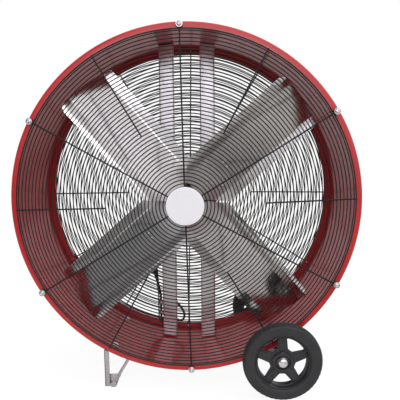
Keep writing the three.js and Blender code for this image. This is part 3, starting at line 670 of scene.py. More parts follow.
# ------------------------------------------------------------ shaft, bearings, hub
def spindle():
    back = STRUT_Y + STRUT_D + 0.4
    s = Shape().add(slab(rounded(rect(-103, 97, -60, 60), 9, 5), back, back + 5, [circle(20, 40)], 0.8), matrix=AXIS)
    make("bearing_carrier", s, GALV, stands_for="bearing_plate", angle=30)
    s = Shape()
    for x in (-90, -65, 59, 84):
        for z in (-46, 46):
            m = AXIS @ at(x, 0, z)
            s.add(lathe([(0, back + 4.9), (7.6, back + 4.9), (7.6, back + 6.2), (0, back + 6.2)], 24), matrix=m)
            s.add(hexagon(11, back + 6.2, back + 10.6, 0.7), matrix=m)
    make("carrier_bolts", s, ZINC, angle=35)
    bore = 12.9
    s = Shape()
    s.add(lathe([(bore, back - 30), (18, back - 30), (18.6, back - 29.4), (24, back - 29.4), (25, back - 27), (26, back - 21), (30, back - 15),
                 (40.6, back - 12), (42, back - 10.6), (42, back - 0.4), (bore, back - 0.4)], 56), matrix=AXIS)
    make("flange_bearing_front", s, CAST, stands_for="bearing_front", angle=35)
    s = Shape()
    s.add(lathe([(bore, back + 5.4), (42, back + 5.4), (42, back + 12.6), (40.6, back + 14), (30, back + 16.5), (26, back + 20), (24.6, back + 24.5), (23.4, back + 26),
                 (18.6, back + 26), (18, back + 25.2), (bore, back + 25.2)], 56), matrix=AXIS)
    for k in range(4):
        m = AXIS @ spun(45 + 90 * k) @ at(34.5, 0, 0)
        s.add(lathe([(0, back + 12), (5.6, back + 12), (5.6, back + 17), (0, back + 17)], 20), matrix=m)
    make("flange_bearing_rear", s, CAST, stands_for="bearing_rear", angle=35)
    s = Shape()
    for k in range(4):
        m = AXIS @ spun(45 + 90 * k) @ at(34.5, 0, 0)
        s.add(hexagon(8, back + 16.9, back + 21.0, 0.6), matrix=m)
    s.add(lathe([(13.0, back + 25.3), (17.6, back + 25.3), (17.6, back + 27.5), (13.0, back + 27.5)], 40), matrix=AXIS)
    make("bearing_fasteners", s, ZINC, angle=35)
    s = Shape().add(lathe([(0, -123), (8.6, -123), (9.5, -122), (9.5, -107), (12.5, -107), (12.5, 132.8), (11.3, 134), (3, 134), (1.4, 131.5), (0, 131.2)], 48), matrix=AXIS)
    make("main_shaft", s, STEEL, "rotor", "fan_shaft", angle=30)

    s = Shape()
    h = BLADE_Y - 25
    s.add(lathe([(bore, h + 1.2), (14.5, h), (34, h), (36, h + 2), (36, h + 36), (37, h + 37.4), (40, h + 38), (41, h + 39.2), (41, h + 44.8), (40, h + 46), (37, h + 46.6), (36, h + 48),
                 (36, h + 62), (34, h + 64), (14.5, h + 64), (bore, h + 62.8)], 64), matrix=AXIS)
    for k in range(4):
        tilt = AXIS @ spun(BLADE_DEG + 90 * k) @ at(0, BLADE_Y + BLADE_CAMBER * 0.985 + 2.4, 0) @ turn("X", BLADE_PITCH)
        out = rounded([(24, -23), (196, -23), (196, 23), (24, 23)], [2, 9, 9, 2], 4)
        s.add(slab(out, 0.1, 3.9, bevel=0.8), matrix=tilt)
        # pressed rib down the middle of each arm
        s.add(slab(rounded([(40, -5), (184, -5), (184, 5), (40, 5)], 4.9, 5), 3.6, 7.2, bevel=1.6), matrix=tilt)
    make("spider_hub", s, HUB_PAINT, "rotor", "blade_hub", angle=35)
    s = Shape()
    s.add(slab(circle(17.6, 6), -120.6, -109, [circle(10.4, 32)], 1.1), matrix=AXIS)
    s.add(lathe([(10.4, -109), (21.4, -109), (21.4, -106.2), (10.4, -106.2)], 44), matrix=AXIS)
    make("hub_lock_nut", s, ZINC, "rotor", "hub_nut", angle=35)

    # belt pulley with a spoked web
    y0, y1 = PULLEY_Y, PULLEY_Y + PULLEY_W
    s = Shape()
    s.add(lathe([(bore, y0 - 8), (28.6, y0 - 8), (30, y0 - 6.6), (30, y1 - 1.4), (28.6, y1), (bore, y1)], 56), matrix=AXIS)
    s.add(lathe([(82, y0 + 1.2), (104.2, y0 + 0.2), (105, y0 + 1.0), (105, y0 + 3.2), (94.2, y0 + 5.4), (94.2, y1 - 5.4), (105, y1 - 3.2), (105, y1 - 1.0), (104.2, y1 - 0.2), (82, y1 - 1.2)], 96), matrix=AXIS)
    holes = []
    for k in range(5):
        a0 = 90 + 72 * k
        pts = [(41 * math.cos(rad(a0 + d)), 41 * math.sin(rad(a0 + d))) for d in (-18, 0, 18)]
        pts += [(76 * math.cos(rad(a0 + d)), 76 * math.sin(rad(a0 + d))) for d in (24, 12, 0, -12, -24)]
        holes.append(rounded(pts, [5, 0, 5, 7, 0, 0, 0, 7], 4))
    s.add(slab(circle(84, 96), y0 + 6.5, y1 - 6.5, holes, 0.8), matrix=AXIS)
    make("large_pulley", s, CAST, "rotor", "fan_pulley", angle=35)


# ------------------------------------------------------------ blades
def blade_y(c):
    """Section of a paddle: a flat middle, edges bent forward, and a lip on the leading edge."""
    def straight(x):
        return float(np.interp(x, [p[0] for p in SECTION], [p[1] for p in SECTION]))

    # every bend has a radius
    soft = 3.0
    near = min(abs(c - p[0]) for p in SECTION[1:-1])
    y = straight(c) if near > soft else sum(straight(c + soft * (k - 4) / 4) for k in range(9)) / 9
    return BLADE_Y - c * math.tan(rad(BLADE_PITCH)) + y


def blades():
    cols = [-102, -101.4, -100, -97, -92, -86, -80, -74, -70.5, -69, -68, -67, -66, -65, -64, -63, -61.5, -56, -48, -40, -36, -33, -30, -24, -12, 0,
            12, 24, 30, 33, 36, 44, 52, 58, 60.5, 61.5, 62.5, 63.5, 64.5, 65.5, 66.5, 68, 72, 77, 82, 84, 85, 86, 87, 88, 89, 90, 92, 95, 98, 100.2, 101.4, 102]
    NJ, NI = len(cols), 24
    for b in range(4):
        verts, faces = [], []
        for side in (0, 1):
            for i in range(NI):
                for c in cols:
                    edge = BLADE_HALF - abs(c)
                    root = max(BLADE_ROOT, c - 6 if c > 0 else 4 - c)
                    tip = math.sqrt(BLADE_TIP ** 2 - c ** 2)
                    corner = 26.0 if c > 0 else 5.0
                    if edge < corner:
                        tip -= corner - math.sqrt(max(0.0, corner ** 2 - (corner - edge) ** 2))
                    if edge < 5:
                        root += 2.0 * (1 - edge / 5) ** 2
                    t = i / (NI - 1)
                    t = t + 0.5 * math.sin(2 * math.pi * t) / (2 * math.pi)
                    y = blade_y(c) + (BLADE_T / 2 if side else -BLADE_T / 2)
                    verts.append((root + (tip - root) * t, y, c))
        v = lambda side, i, j: side * NI * NJ + i * NJ + j
        for i in range(NI - 1):
            for j in range(NJ - 1):
                faces.append((v(0, i, j), v(0, i + 1, j), v(0, i + 1, j + 1), v(0, i, j + 1)))
                faces.append((v(1, i, j), v(1, i, j + 1), v(1, i + 1, j + 1), v(1, i + 1, j)))
            faces.append((v(0, i, 0), v(1, i, 0), v(1, i + 1, 0), v(0, i + 1, 0)))
            faces.append((v(0, i, NJ - 1), v(0, i + 1, NJ - 1), v(1, i + 1, NJ - 1), v(1, i, NJ - 1)))
        for j in range(NJ - 1):
            faces.append((v(0, 0, j), v(0, 0, j + 1), v(1, 0, j + 1), v(1, 0, j)))
            faces.append((v(0, NI - 1, j), v(1, NI - 1, j), v(1, NI - 1, j + 1), v(0, NI - 1, j + 1)))
        s = Shape().add((verts, faces))
        make(f"paddle_{b + 1}", s, ALU, "rotor", f"blade_{b + 1}", angle=50, origin=AXIS @ spun(BLADE_DEG + 90 * b))
        # rivets through paddle and hub arm
        s = Shape()
        for r, c in ((100, 5), (178, -5), (100, -16), (178, 14), (124, -45), (75, 62)):
            m = at(r, blade_y(c) - 1.1, c) @ turn("X", BLADE_PITCH)
            s.add(lathe([(0, 0.3), (4.0, 0.3), (3.8, -0.9), (2.6, -1.8), (0, -2.2)], 16), matrix=m)
            s.add(lathe([(0, 2.4), (3.4, 2.4), (3.0, 3.2), (0, 3.5)] if abs(c) > 30 else [(0, 6.2), (3.4, 6.2), (3.0, 7.0), (0, 7.3)], 12), matrix=m)
        make(f"paddle_rivets_{b + 1}", s, RIVET, "rotor", angle=40, origin=AXIS @ spun(BLADE_DEG + 90 * b))


# ------------------------------------------------------------ motor
def motor():
    O = at(MOTOR_X, 0, MOTOR_Z)
    s = Shape().add(lathe([(0, 24), (7.2, 24), (8, 24.8), (8, 100), (0, 100)], 36), matrix=O)
    make("motor_spindle", s, STEEL, "motor_rotor", "motor_shaft", angle=30)
    y0, y1 = PULLEY_Y, PULLEY_Y + PULLEY_W
    s = Shape()
    s.add(lathe([(8.4, y0), (20, y0), (21, y0 + 1.5), (31, y0 + 1.5), (32, y0 + 0.2), (35.2, y0 + 0.2), (36, y0 + 1), (36, y0 + 3.2), (27.2, y0 + 5.4), (27.2, y1 - 5.4), (36, y1 - 3.2),
                 (36, y1 - 1), (35.2, y1 - 0.2), (18, y1 - 0.2), (18, y1 + 8.4), (17.4, y1 + 9), (8.4, y1 + 9)], 56), matrix=O)
    make("small_pulley", s, CAST, "motor_rotor", "motor_pulley", angle=35)

    s = Shape()
    s.add(lathe([(8.6, 64), (21, 64), (22, 65), (23, 67.5), (30, 69.4), (58, 71.2), (68, 73), (72.2, 76), (73, 79), (73, 83.6), (8.6, 83.6)], 64), matrix=O)
    for k in range(8):
        s.add(block(26, 64, 66.8, 74, -1.6, 1.6, 0.9), matrix=O @ spun(22.5 + 45 * k))
    for k in range(4):
        s.add(lathe([(0, 68), (6.5, 68), (6.5, 80), (0, 80)], 20), matrix=O @ spun(45 + 90 * k) @ at(66, 0, 0))
    make("motor_bell_drive_end", s, BELL, stands_for="motor_front_bell", angle=35)

    s = Shape()
    s.add(lathe([(9, 101.4), (9, 84), (70.4, 84), (70.8, 84.4), (70.8, 149.6), (70.4, 150), (9, 150), (0, 150), (0, 101.4)][:-2] + [(9, 101.4)], 72), matrix=O)
    for k in range(40):
        d = 9 * k
        if 290 < d % 360 < 326 or d % 360 > 328 or d % 360 < 34:
            continue
        s.add(block(69.6, 75, 89, 145, -1.1, 1.1, 0.7), matrix=O @ spun(d))
    s.add(block(62, 85.2, 94, 140, -40, 40, 2.0), matrix=O)
    for z in (-30, 30):
        s.add(block(82, 85.4, 96, 138, z - 7, z + 7, 0.8), matrix=O)
    for y in (86.8, 147.2):
        s.add(torus(71.4, 1.6, y, 72, 8), matrix=O)
    make("motor_housing", s, MOTOR, stands_for="motor_shell", angle=35)

    s = Shape()
    s.add(lathe([(0, 150.4), (73, 150.4), (73, 155), (71.6, 158.4), (66, 161.6), (58, 163.6), (30, 166.6), (26, 168.4), (20, 169.6), (0, 170)], 64), matrix=O)
    for k in range(16):
        s.add(block(30, 66, 160.5, 167.2, -1.5, 1.5, 0.9), matrix=O @ spun(11.25 + 22.5 * k) @ turn("Z", 3.5) @ at(0, -1.5, 0))
    make("motor_bell_rear", s, BELL, stands_for="motor_rear_bell", angle=35)
    s = Shape()
    for k in range(4):
        m = O @ spun(45 + 90 * k) @ at(66, 0, 0)
        s.add(hexagon(8, 158.5, 165.0, 0.6), matrix=m)
        s.add(hexagon(8, 64.6, 68.2, 0.6), matrix=m)
    make("motor_through_bolts", s, ZINC, angle=35)

    s = Shape()
    # terminal box on the motor's lower right, lid and two screws
    M = O @ turn("Y", 56)
    s.add(block(71.5, 96, 88.5, 141.5, -19.5, 19.5, 2.4, 3), matrix=M)
    s.add(block(95.4, 101, 88, 142, -20, 20, 1.6, 3), matrix=M)
    boot = []
    n = 22
    for i in range(n + 1):
        t = i / n
        r = 15 - 9 * t
        boot.append((r, -88 * t))
        if 2 < i < n - 1:
            boot.append((r - 1.5, -88 * (t + 0.5 / n)))
    prof = [(0, 2)] + [(15, 1)] + boot + [(0, -88.5)]
    s.add(lathe(prof, 28), matrix=O @ at(51, 113, -88) @ turn("Y", -10) @ turn("X", 90))
    make("terminal_housing", s, PLASTIC, stands_for="motor_terminal_box", angle=35)
    s = Shape()
    for y in (95, 135):
        s.add(lathe([(0, 0), (3.4, 0), (3.0, -1.4), (0, -2.0)], 16), matrix=M @ at(101, y, 0) @ turn("Z", 90))
    make("terminal_screws", s, ZINC, angle=35)

    # mount plate with its bolts
    x1 = STRUT_X[0] - STRUT_W / 2 - 0.4
    plate, faces = prism(rounded(rect(STRUT_Y + 2, 165, MOTOR_Z - 78, MOTOR_Z + 78), 8, 5), -4.5, 0, bevel=0.8)
    s = Shape().add(([(x1 + d, a, b) for a, b, d in plate], faces))
    make("motor_plate", s, GALV, stands_for="motor_mount_plate", angle=30)
    s = Shape()
    for y in (104, 130):
        for z in (-30, 30):
            m = at(x1, y, MOTOR_Z + z) @ turn("Z", 90)
            s.add(hexagon(10, -5.0, -0.1, 0.6), matrix=m @ at(0, 0, 0))
    make("motor_plate_nuts", s, ZINC, angle=35)


def belt():
    d = math.hypot(MOTOR_X, MOTOR_Z - AX)
    way = math.atan2(MOTOR_Z - AX, MOTOR_X)
    r1, r2 = 94 + 0.6 + 4.6, 27 + 0.6 + 4.6
    opening = math.acos((r1 - r2) / d)
    ring = []
    n1, n2, n3 = 72, 28, 16
    for i in range(n1 + 1):
        a = way + opening + (2 * math.pi - 2 * opening) * i / n1
        ring.append((r1 * math.cos(a), AX + r1 * math.sin(a), math.cos(a), math.sin(a)))
    a = way - opening
    p, q = np.array(ring[-1][:2]), np.array((MOTOR_X + r2 * math.cos(a), MOTOR_Z + r2 * math.sin(a)))
    for i in range(1, n3):
        w = p + (q - p) * i / n3
        ring.append((w[0], w[1], math.cos(a), math.sin(a)))
    for i in range(n2 + 1):
        a = way - opening + 2 * opening * i / n2
        ring.append((MOTOR_X + r2 * math.cos(a), MOTOR_Z + r2 * math.sin(a), math.cos(a), math.sin(a)))
    a = way + opening
    p, q = np.array(ring[-1][:2]), np.array(ring[0][:2])
    for i in range(1, n3):
        w = p + (q - p) * i / n3
        ring.append((w[0], w[1], math.cos(a), math.sin(a)))
    yc = PULLEY_Y + PULLEY_W / 2
    section = [(-4.2, -3.6), (-3.8, -3.9), (3.6, -5.5), (4.2, -5.1), (4.2, 5.1), (3.6, 5.5), (-3.8, 3.9), (-4.2, 3.6)]
    verts, faces = [], []
    m, n = len(section), len(ring)
    for x, z, nx, nz in ring:
        for o, y in section:
            verts.append((x + nx * o, yc + y, z + nz * o))
    for i in range(n):
        for k in range(m):
            j, i2 = (k + 1) % m, (i + 1) % n
            faces.append((i * m + k, i * m + j, i2 * m + j, i2 * m + k))
    make("v_belt", Shape().add((verts, faces)), BELT, stands_for="drive_belt", angle=35)


# ------------------------------------------------------------ switch, lead
SWITCH_X, SWITCH_Z = -81.0, 252.8
LEAD = [
    (-128.2, 113, 276.5), (-126.5, 112, 268), (-121.5, 106, 252), (-116.5, 97, 236), (-114.2, 92, 218), (-114, 91, 196),
    (-114, 91, 160), (-113, 94, 134), (-107, 104, 116), (-94, 111, 110), (-76, 115, 114), (-58, 117, 119), (-43, 118, 114),
    (-30, 119, 117), (-24.5, 120, 131), (-28, 121, 151), (-40, 122, 170), (-54, 123, 187), (-64.5, 124, 203),
    (-68, 124, 216), (-68, 124, 236),
]


def switchgear():
    x0, x1, y0, y1, z0, z1 = -107, -55, STRUT_Y + STRUT_D + 1.4, 150, 216, 290
    s = Shape()
    s.add(block(x0, x1, y0, y1, z0, z1, 3.2, 3))
    s.add(lathe([(4.4, -17), (6.2, -17), (7.0, -16), (7.4, -11), (9.5, -10), (9.5, -3), (10.6, -2), (10.6, 1), (4.4, 1)], 28), matrix=at(-94, 124, z0) @ turn("X", 90))
    s.add(lathe([(5.2, -9), (7.0, -9), (8.4, -7), (8.8, -2), (10.0, -1.4), (10.0, 1), (5.2, 1)], 28), matrix=at(-68, 124, z0) @ turn("X", 90))
    make("switch_case", s, PLASTIC, stands_for="switch_box", angle=35)
    s = Shape()
    s.add(slab(rounded(rect(x0, x1, z0, z1), 4.5, 5), y1 + 0.4, y1 + 3.2, [circle(4, 28, SWITCH_X, SWITCH_Z)], 0.9))
    s.add(lathe([(4.2, y1 + 3.0), (9.5, y1 + 3.0), (9.0, y1 + 4.6), (4.4, y1 + 5.0)], 32), matrix=at(SWITCH_X, 0, SWITCH_Z))
    make("switch_lid", s, PLASTIC, stands_for="switch_box_cover", angle=35)
    s = Shape()
    for x in (x0 + 6, x1 - 6):
        for z in (z0 + 6, z1 - 6):
            s.add(lathe([(0, y1 + 3.0), (3.0, y1 + 3.0), (2.7, y1 + 4.2), (0, y1 + 4.8)], 16), matrix=at(x, 0, z))
    make("switch_lid_screws", s, ZINC, angle=35)

    s = Shape()

    def flute(k, i, r):
        return r - (0.55 if (i // 2) % 2 and 12 < r else 0.0)

    s.add(lathe([(0, 214), (15.6, 214), (17.6, 214.6), (18, 216), (17.6, 218), (15.8, 219.6), (14.9, 227.4), (13.9, 229), (0, 229.4)], 72, bump=flute), matrix=at(SWITCH_X, 0, SWITCH_Z))
    s.add(lathe([(0, 136), (3, 136), (3, 216), (0, 216)], 24), matrix=at(SWITCH_X, 0, SWITCH_Z))
    s.add(block(-3.0, 3.0, 226, 232, -9, 17, 1.2, 3), matrix=at(SWITCH_X, 0, SWITCH_Z))
    s.add(block(-0.7, 0.7, 231.6, 232.3, 4, 16, 0.2, 1), 1, at(SWITCH_X, 0, SWITCH_Z))
    make("selector_knob", s, [KNOB, MARK], "knob", "switch_knob", angle=35)

    s = Shape().add(tube(smooth_path(LEAD, 6), 4.5, 12))
    make("motor_cable", s, LEAD_MAT, stands_for="motor_lead", angle=60)
    # earth wire beside the boot
    wire = [(-163, 113, 372), (-160, 112, 352), (-153, 112, 334), (-145, 112, 316), (-138, 111, 300), (-133, 110, 286), (-129.5, 106, 274), (-127, 100, 258),
            (-123.5, 93, 240), (-122.5, 90, 216), (-122.5, 90, 160), (-121.5, 93, 134), (-115, 103, 116), (-104, 112, 109)]
    s = Shape().add(tube(smooth_path(wire, 5), 2.6, 8))
    make("earth_wire", s, LEAD_MAT, angle=60)
    xs = STRUT_X[0] - STRUT_W / 2 - 0.4
    for i, z in enumerate((202, 160)):
        s = Shape()
        lx, ly = (-114.0, 91.0)
        s.add(lathe([(6.2, -6), (7.7, -6), (7.7, 6), (6.2, 6)], 28), matrix=at(lx, ly, z) @ turn("X", 90))
        s.add(block(xs - 2.2, xs, ly - 18, ly + 3, z - 6, z + 6, 0.6))
        s.add(lathe([(0, 0), (3.2, 0), (2.8, 1.4), (0, 2.0)], 16), matrix=at(xs - 2.2, ly - 12.5, z) @ turn("Z", 90))
        make(f"cable_clip_{i + 1}", s, ZINC, stands_for=f"lead_clip_{i + 1}", angle=35)


# ------------------------------------------------------------ wheels, axle
def wheels():
    end = WHEEL_Y + TYRE_W / 2 + HUB_OUT
    s = Shape().add(lathe([(0, -end), (7.2, -end), (8, -end + 0.8), (8, -220), (11, -219.4), (11, 219.4), (8, 220), (8, end - 0.8), (7.2, end), (0, end)], 32), matrix=at(WHEEL_X, 0, WHEEL_R))
    make("axle_rod", s, STEEL, stands_for="axle", angle=30)
    t = TYRE_W / 2
    prof = [(87, -t + 4.5), (88.5, -t + 2.6), (91, -t + 1.4), (97, -t + 0.4), (104, -t), (110, -t + 0.1), (114.6, -t + 0.9), (116.2, -t + 0.5), (117.6, -t + 1.2),
            (119.6, -t + 3.0), (121.6, -t + 5.2), (123.4, -t + 8.0), (124.8, -t + 11.4), (125.6, -t + 14.6)]
    prof = prof + [(126, -4.6), (123.8, -3.4), (123.8, 3.4), (126, 4.6)] + [(r, -y) for r, y in reversed(prof)]
    ys = [y for r, y in prof]

    def tread(k, i, r):
        """Lugs on the shoulders, cut only into the outermost part."""
        if r < 120.5:
            return r
        y = ys[k]
        phase = (i + (3 if y > 0 else 0)) % 6
        cut = (1.7 if phase == 1 else 1.0) if phase in (0, 1, 2) else 0.0
        return r - cut * min(1.0, (r - 120.5) / 3.0 if abs(y) > 4.8 else 0.0)

    for side, tag in ((-1, "front"), (1, "rear")):
        hub = at(WHEEL_X, side * WHEEL_Y, WHEEL_R)
        s = Shape().add(lathe(prof, 288, bump=tread), matrix=hub)
        make(f"tyre_{tag}", s, TYRE, f"{tag}_wheel", f"wheel_tyre_{tag}", angle=28)
        out = FLIP if side < 0 else Matrix.Identity(4)   # local +Y is the wheel's outer side
        base = -90 if side < 0 else 90
        s = Shape()
        # flange that holds the tyre, stepping down to the disc
        s.add(lathe([(78, -15), (84.5, -16.6), (86.6, -15.6), (86.6, 14.4), (85.6, 15.8), (84.2, 15.8), (83.0, 14.6), (81.6, 8.5), (79.8, 4.6), (78, 4.0)], 120), matrix=hub @ out)
        holes = []
        for k in range(5):
            a0 = rad(90 + 72 * k)      # one window points down once the front wheel is turned over
            pt = lambda r, q: (r * math.cos(a0) - q * math.sin(a0), r * math.sin(a0) + q * math.cos(a0))
            rim_line = [pt(79.0 * math.cos(rad(d)), 79.0 * math.sin(rad(d))) for d in (-12, -6, 0, 6, 12)]
            holes.append(rounded([pt(41.5, 8.5), pt(69.5, 34.0), pt(74.2, 27.2), *reversed(rim_line), pt(74.2, -27.2), pt(69.5, -34.0), pt(41.5, -8.5)],
                                 [6, 5, 5, 0, 0, 0, 0, 0, 5, 5, 6], 5))
        s.add(slab(circle(80.5, 120), -7, 2, holes, 1.6, 3), matrix=hub @ out)
        for k in range(5):
            a = 90 + 36 + 72 * k
            m = hub @ out @ spun(a)
            # shallow raised band along each spoke, its stiffening rib behind
            s.add(slab(rounded([(30, -9.5), (80, -12.5), (80, 12.5), (30, 9.5)], 2.0, 3), 0.5, 4.6, bevel=1.9, res=3), matrix=m)
            s.add(slab([(26, -2.2), (79, -2.2), (79, 2.2), (26, 2.2)], -14, -5, bevel=1.0), matrix=m)
        s.add(lathe([(8.4, -17), (26, -17), (28, -15), (30, 0), (35, 2.2), (35, 3.4), (8.4, 3.4)], 60), matrix=hub @ out)
        # ten-sided boss with a recess round the cap
        star = [((36.5 if i % 2 else 31.0) * math.cos(rad(90 + 36 * i)), (36.5 if i % 2 else 31.0) * math.sin(rad(90 + 36 * i))) for i in range(10)]
        s.add(slab(rounded(star, 3.0, 4), 2.5, 9.4, [circle(24.5, 40)], 1.6, 3), matrix=hub @ out)
        s.add(lathe([(8.4, 2.0), (24.8, 2.0), (24.8, 5.4), (20.5, 6.6), (20.0, 10.4), (19.4, 11), (8.4, 11)], 60), matrix=hub @ out)
        make(f"rim_{tag}", s, RIM, f"{tag}_wheel", f"wheel_rim_{tag}", angle=32)
        y = end + 0.4
        s = Shape().add(lathe([(0, 0), (16.9, 0), (17.5, 0.5), (17.5, 1.2), (16.4, 2.2), (15.8, 3.0), (15.0, 5.2), (13.0, 7.2), (10.0, 8.7), (6.5, 9.5), (3, 9.8), (0, 9.8)], 48),
                        matrix=at(WHEEL_X, side * y, WHEEL_R) @ out)
        make(f"hub_dome_{tag}", s, CHROME, stands_for=f"hub_cap_{tag}", angle=60)


def ring_arc(r, a0, a1, n):
    return [(r * math.cos(rad(a0 + (a1 - a0) * i / n)), AX + r * math.sin(rad(a0 + (a1 - a0) * i / n))) for i in range(n + 1)]


def brackets():
    for side, tag in ((-1, "front"), (1, "rear")):
        yc = side * 150.0
        s = Shape()
        cheek = [*ring_arc(R0, -63, -54, 8), (334, 136), (326, 112), (304, 105), (282, 110)]
        radii = [0] * 9 + [8, 14, 22, 14]
        s.add(slab(rounded(cheek, radii, 5), yc - 3, yc + 3, [circle(11.4, 36, WHEEL_X, WHEEL_R)], 0.8))
        s.add(lathe([(11.4, -8), (16.5, -8), (17.5, -7), (17.5, 7), (16.5, 8), (11.4, 8)], 40), matrix=at(WHEEL_X, yc, WHEEL_R))
        y0, y1 = (yc, yc + 34) if side < 0 else (yc - 34, yc)
        s.add(slab([*ring_arc(R0, -64, -53, 10), *reversed(ring_arc(R0 + 3.5, -64, -53, 10))], y0, y1, bevel=0.8))
        make(f"axle_cheek_{tag}", s, GALV_DULL, stands_for=f"axle_bracket_{tag}", angle=30)
        s = Shape()
        for a in (-61.5, -55.5):
            m = AXIS @ spun(a) @ at(R0 + 3.4, yc - side * 18, 0) @ turn("Z", -90)
            s.add(lathe([(0, 0), (7.4, 0), (7.4, 1.2), (0, 1.2)], 24), matrix=m)
            s.add(hexagon(11, 1.2, 5.6, 0.6), matrix=m)
            m = AXIS @ spun(a) @ at(559.6, yc - side * 18, 0) @ turn("Z", 90)
            s.add(lathe([(0, 0), (8.0, 0), (8.0, 1.2), (0, 1.2)], 24), matrix=m)
            s.add(hexagon(11, 1.2, 5.0, 0.6), matrix=m)
        make(f"axle_cheek_bolts_{tag}", s, ZINC, angle=35)


def legs():
    for side, tag in ((-1, "front"), (1, "rear")):
        yc = side * LEG_Y
        y0, y1 = yc - LEG_D / 2, yc + LEG_D / 2
        outer = y0 if side < 0 else y1
        inner = outer - side * 3.5
        lo, hi = min(outer, inner), max(outer, inner)
        s = Shape()
        # angle-section upright
        zt = lambda x: AX - math.sqrt(R0 ** 2 - x ** 2) - 0.3
        s.add(slab([(-279, 2), (-263, 2), (-263, zt(-263)), (-271, zt(-271)), (-279, zt(-279))], lo, hi, bevel=0.7))
        side_plate, faces = prism(rounded([(y0, 2), (y1, 2), (y1, zt(-279) - 1), (y0, zt(-279) - 1)], 1.5, 3), 0, 3, bevel=0.7)
        s.add(([(-279 + d, a, b) for a, b, d in side_plate], faces))
        # slanted brace
        s.add(slab(rounded([(-256, 6), (-249, 4), (-195, 93.0), (-202, 96.0)], [2, 2, 0.8, 0.8], 3), y0 + 4, y1 - 4, bevel=0.9))
        g0, g1 = sorted((side * (LEG_Y + 8), side * (LEG_Y + 11.5)))
        s.add(slab(rounded([(-279, 2), (-246, 2), (-224, 41), (-279, 41)], [0.8, 3, 3, 0.8], 3), g0, g1, bevel=0.7))
        # saddle under the drum
        s0, s1 = sorted((side * (LEG_Y - 48), side * (LEG_Y + 6)))
        s.add(slab([*ring_arc(R0, 239.5, 250, 8), *reversed(ring_arc(R0 + 3.5, 239.5, 250, 8))], s0, s1, bevel=0.8))
        # rolled foot
        s.add(slab(rounded([(-257, 0), (-245, 0), (-240, 5), (-240, 12), (-245, 17), (-257, 17), (-262, 12), (-262, 5)], 3.2, 4), y0 - 2, y1 + 2, bevel=1.4, res=3))
        make(f"leg_bracket_{tag}", s, GALV_DULL, stands_for=f"leg_{tag}", angle=30)
        s = Shape()
        for a in (243.2, 247.6):
            for yy in (LEG_Y - 38, LEG_Y - 12):
                m = AXIS @ spun(a) @ at(R0 + 3.4, side * yy, 0) @ turn("Z", -90)
                s.add(lathe([(0, 0), (7.4, 0), (7.4, 1.2), (0, 1.2)], 24), matrix=m)
                s.add(hexagon(11, 1.2, 5.6, 0.6), matrix=m)
        # pressed nut plate that all four bolts of the leg pass into, inside the drum
        m = AXIS @ spun(243.2) @ at(559.8, side * (LEG_Y - 38), 0) @ turn("Z", 90)
        s.add(slab(rounded(rect(-9, 9, -10, 10), 1.6, 3), 0, 2.4, bevel=0.7), matrix=m)
        s.add(hexagon(11, 2.4, 7.2, 0.6), matrix=m)
        make(f"leg_bolts_{tag}", s, ZINC, angle=35)


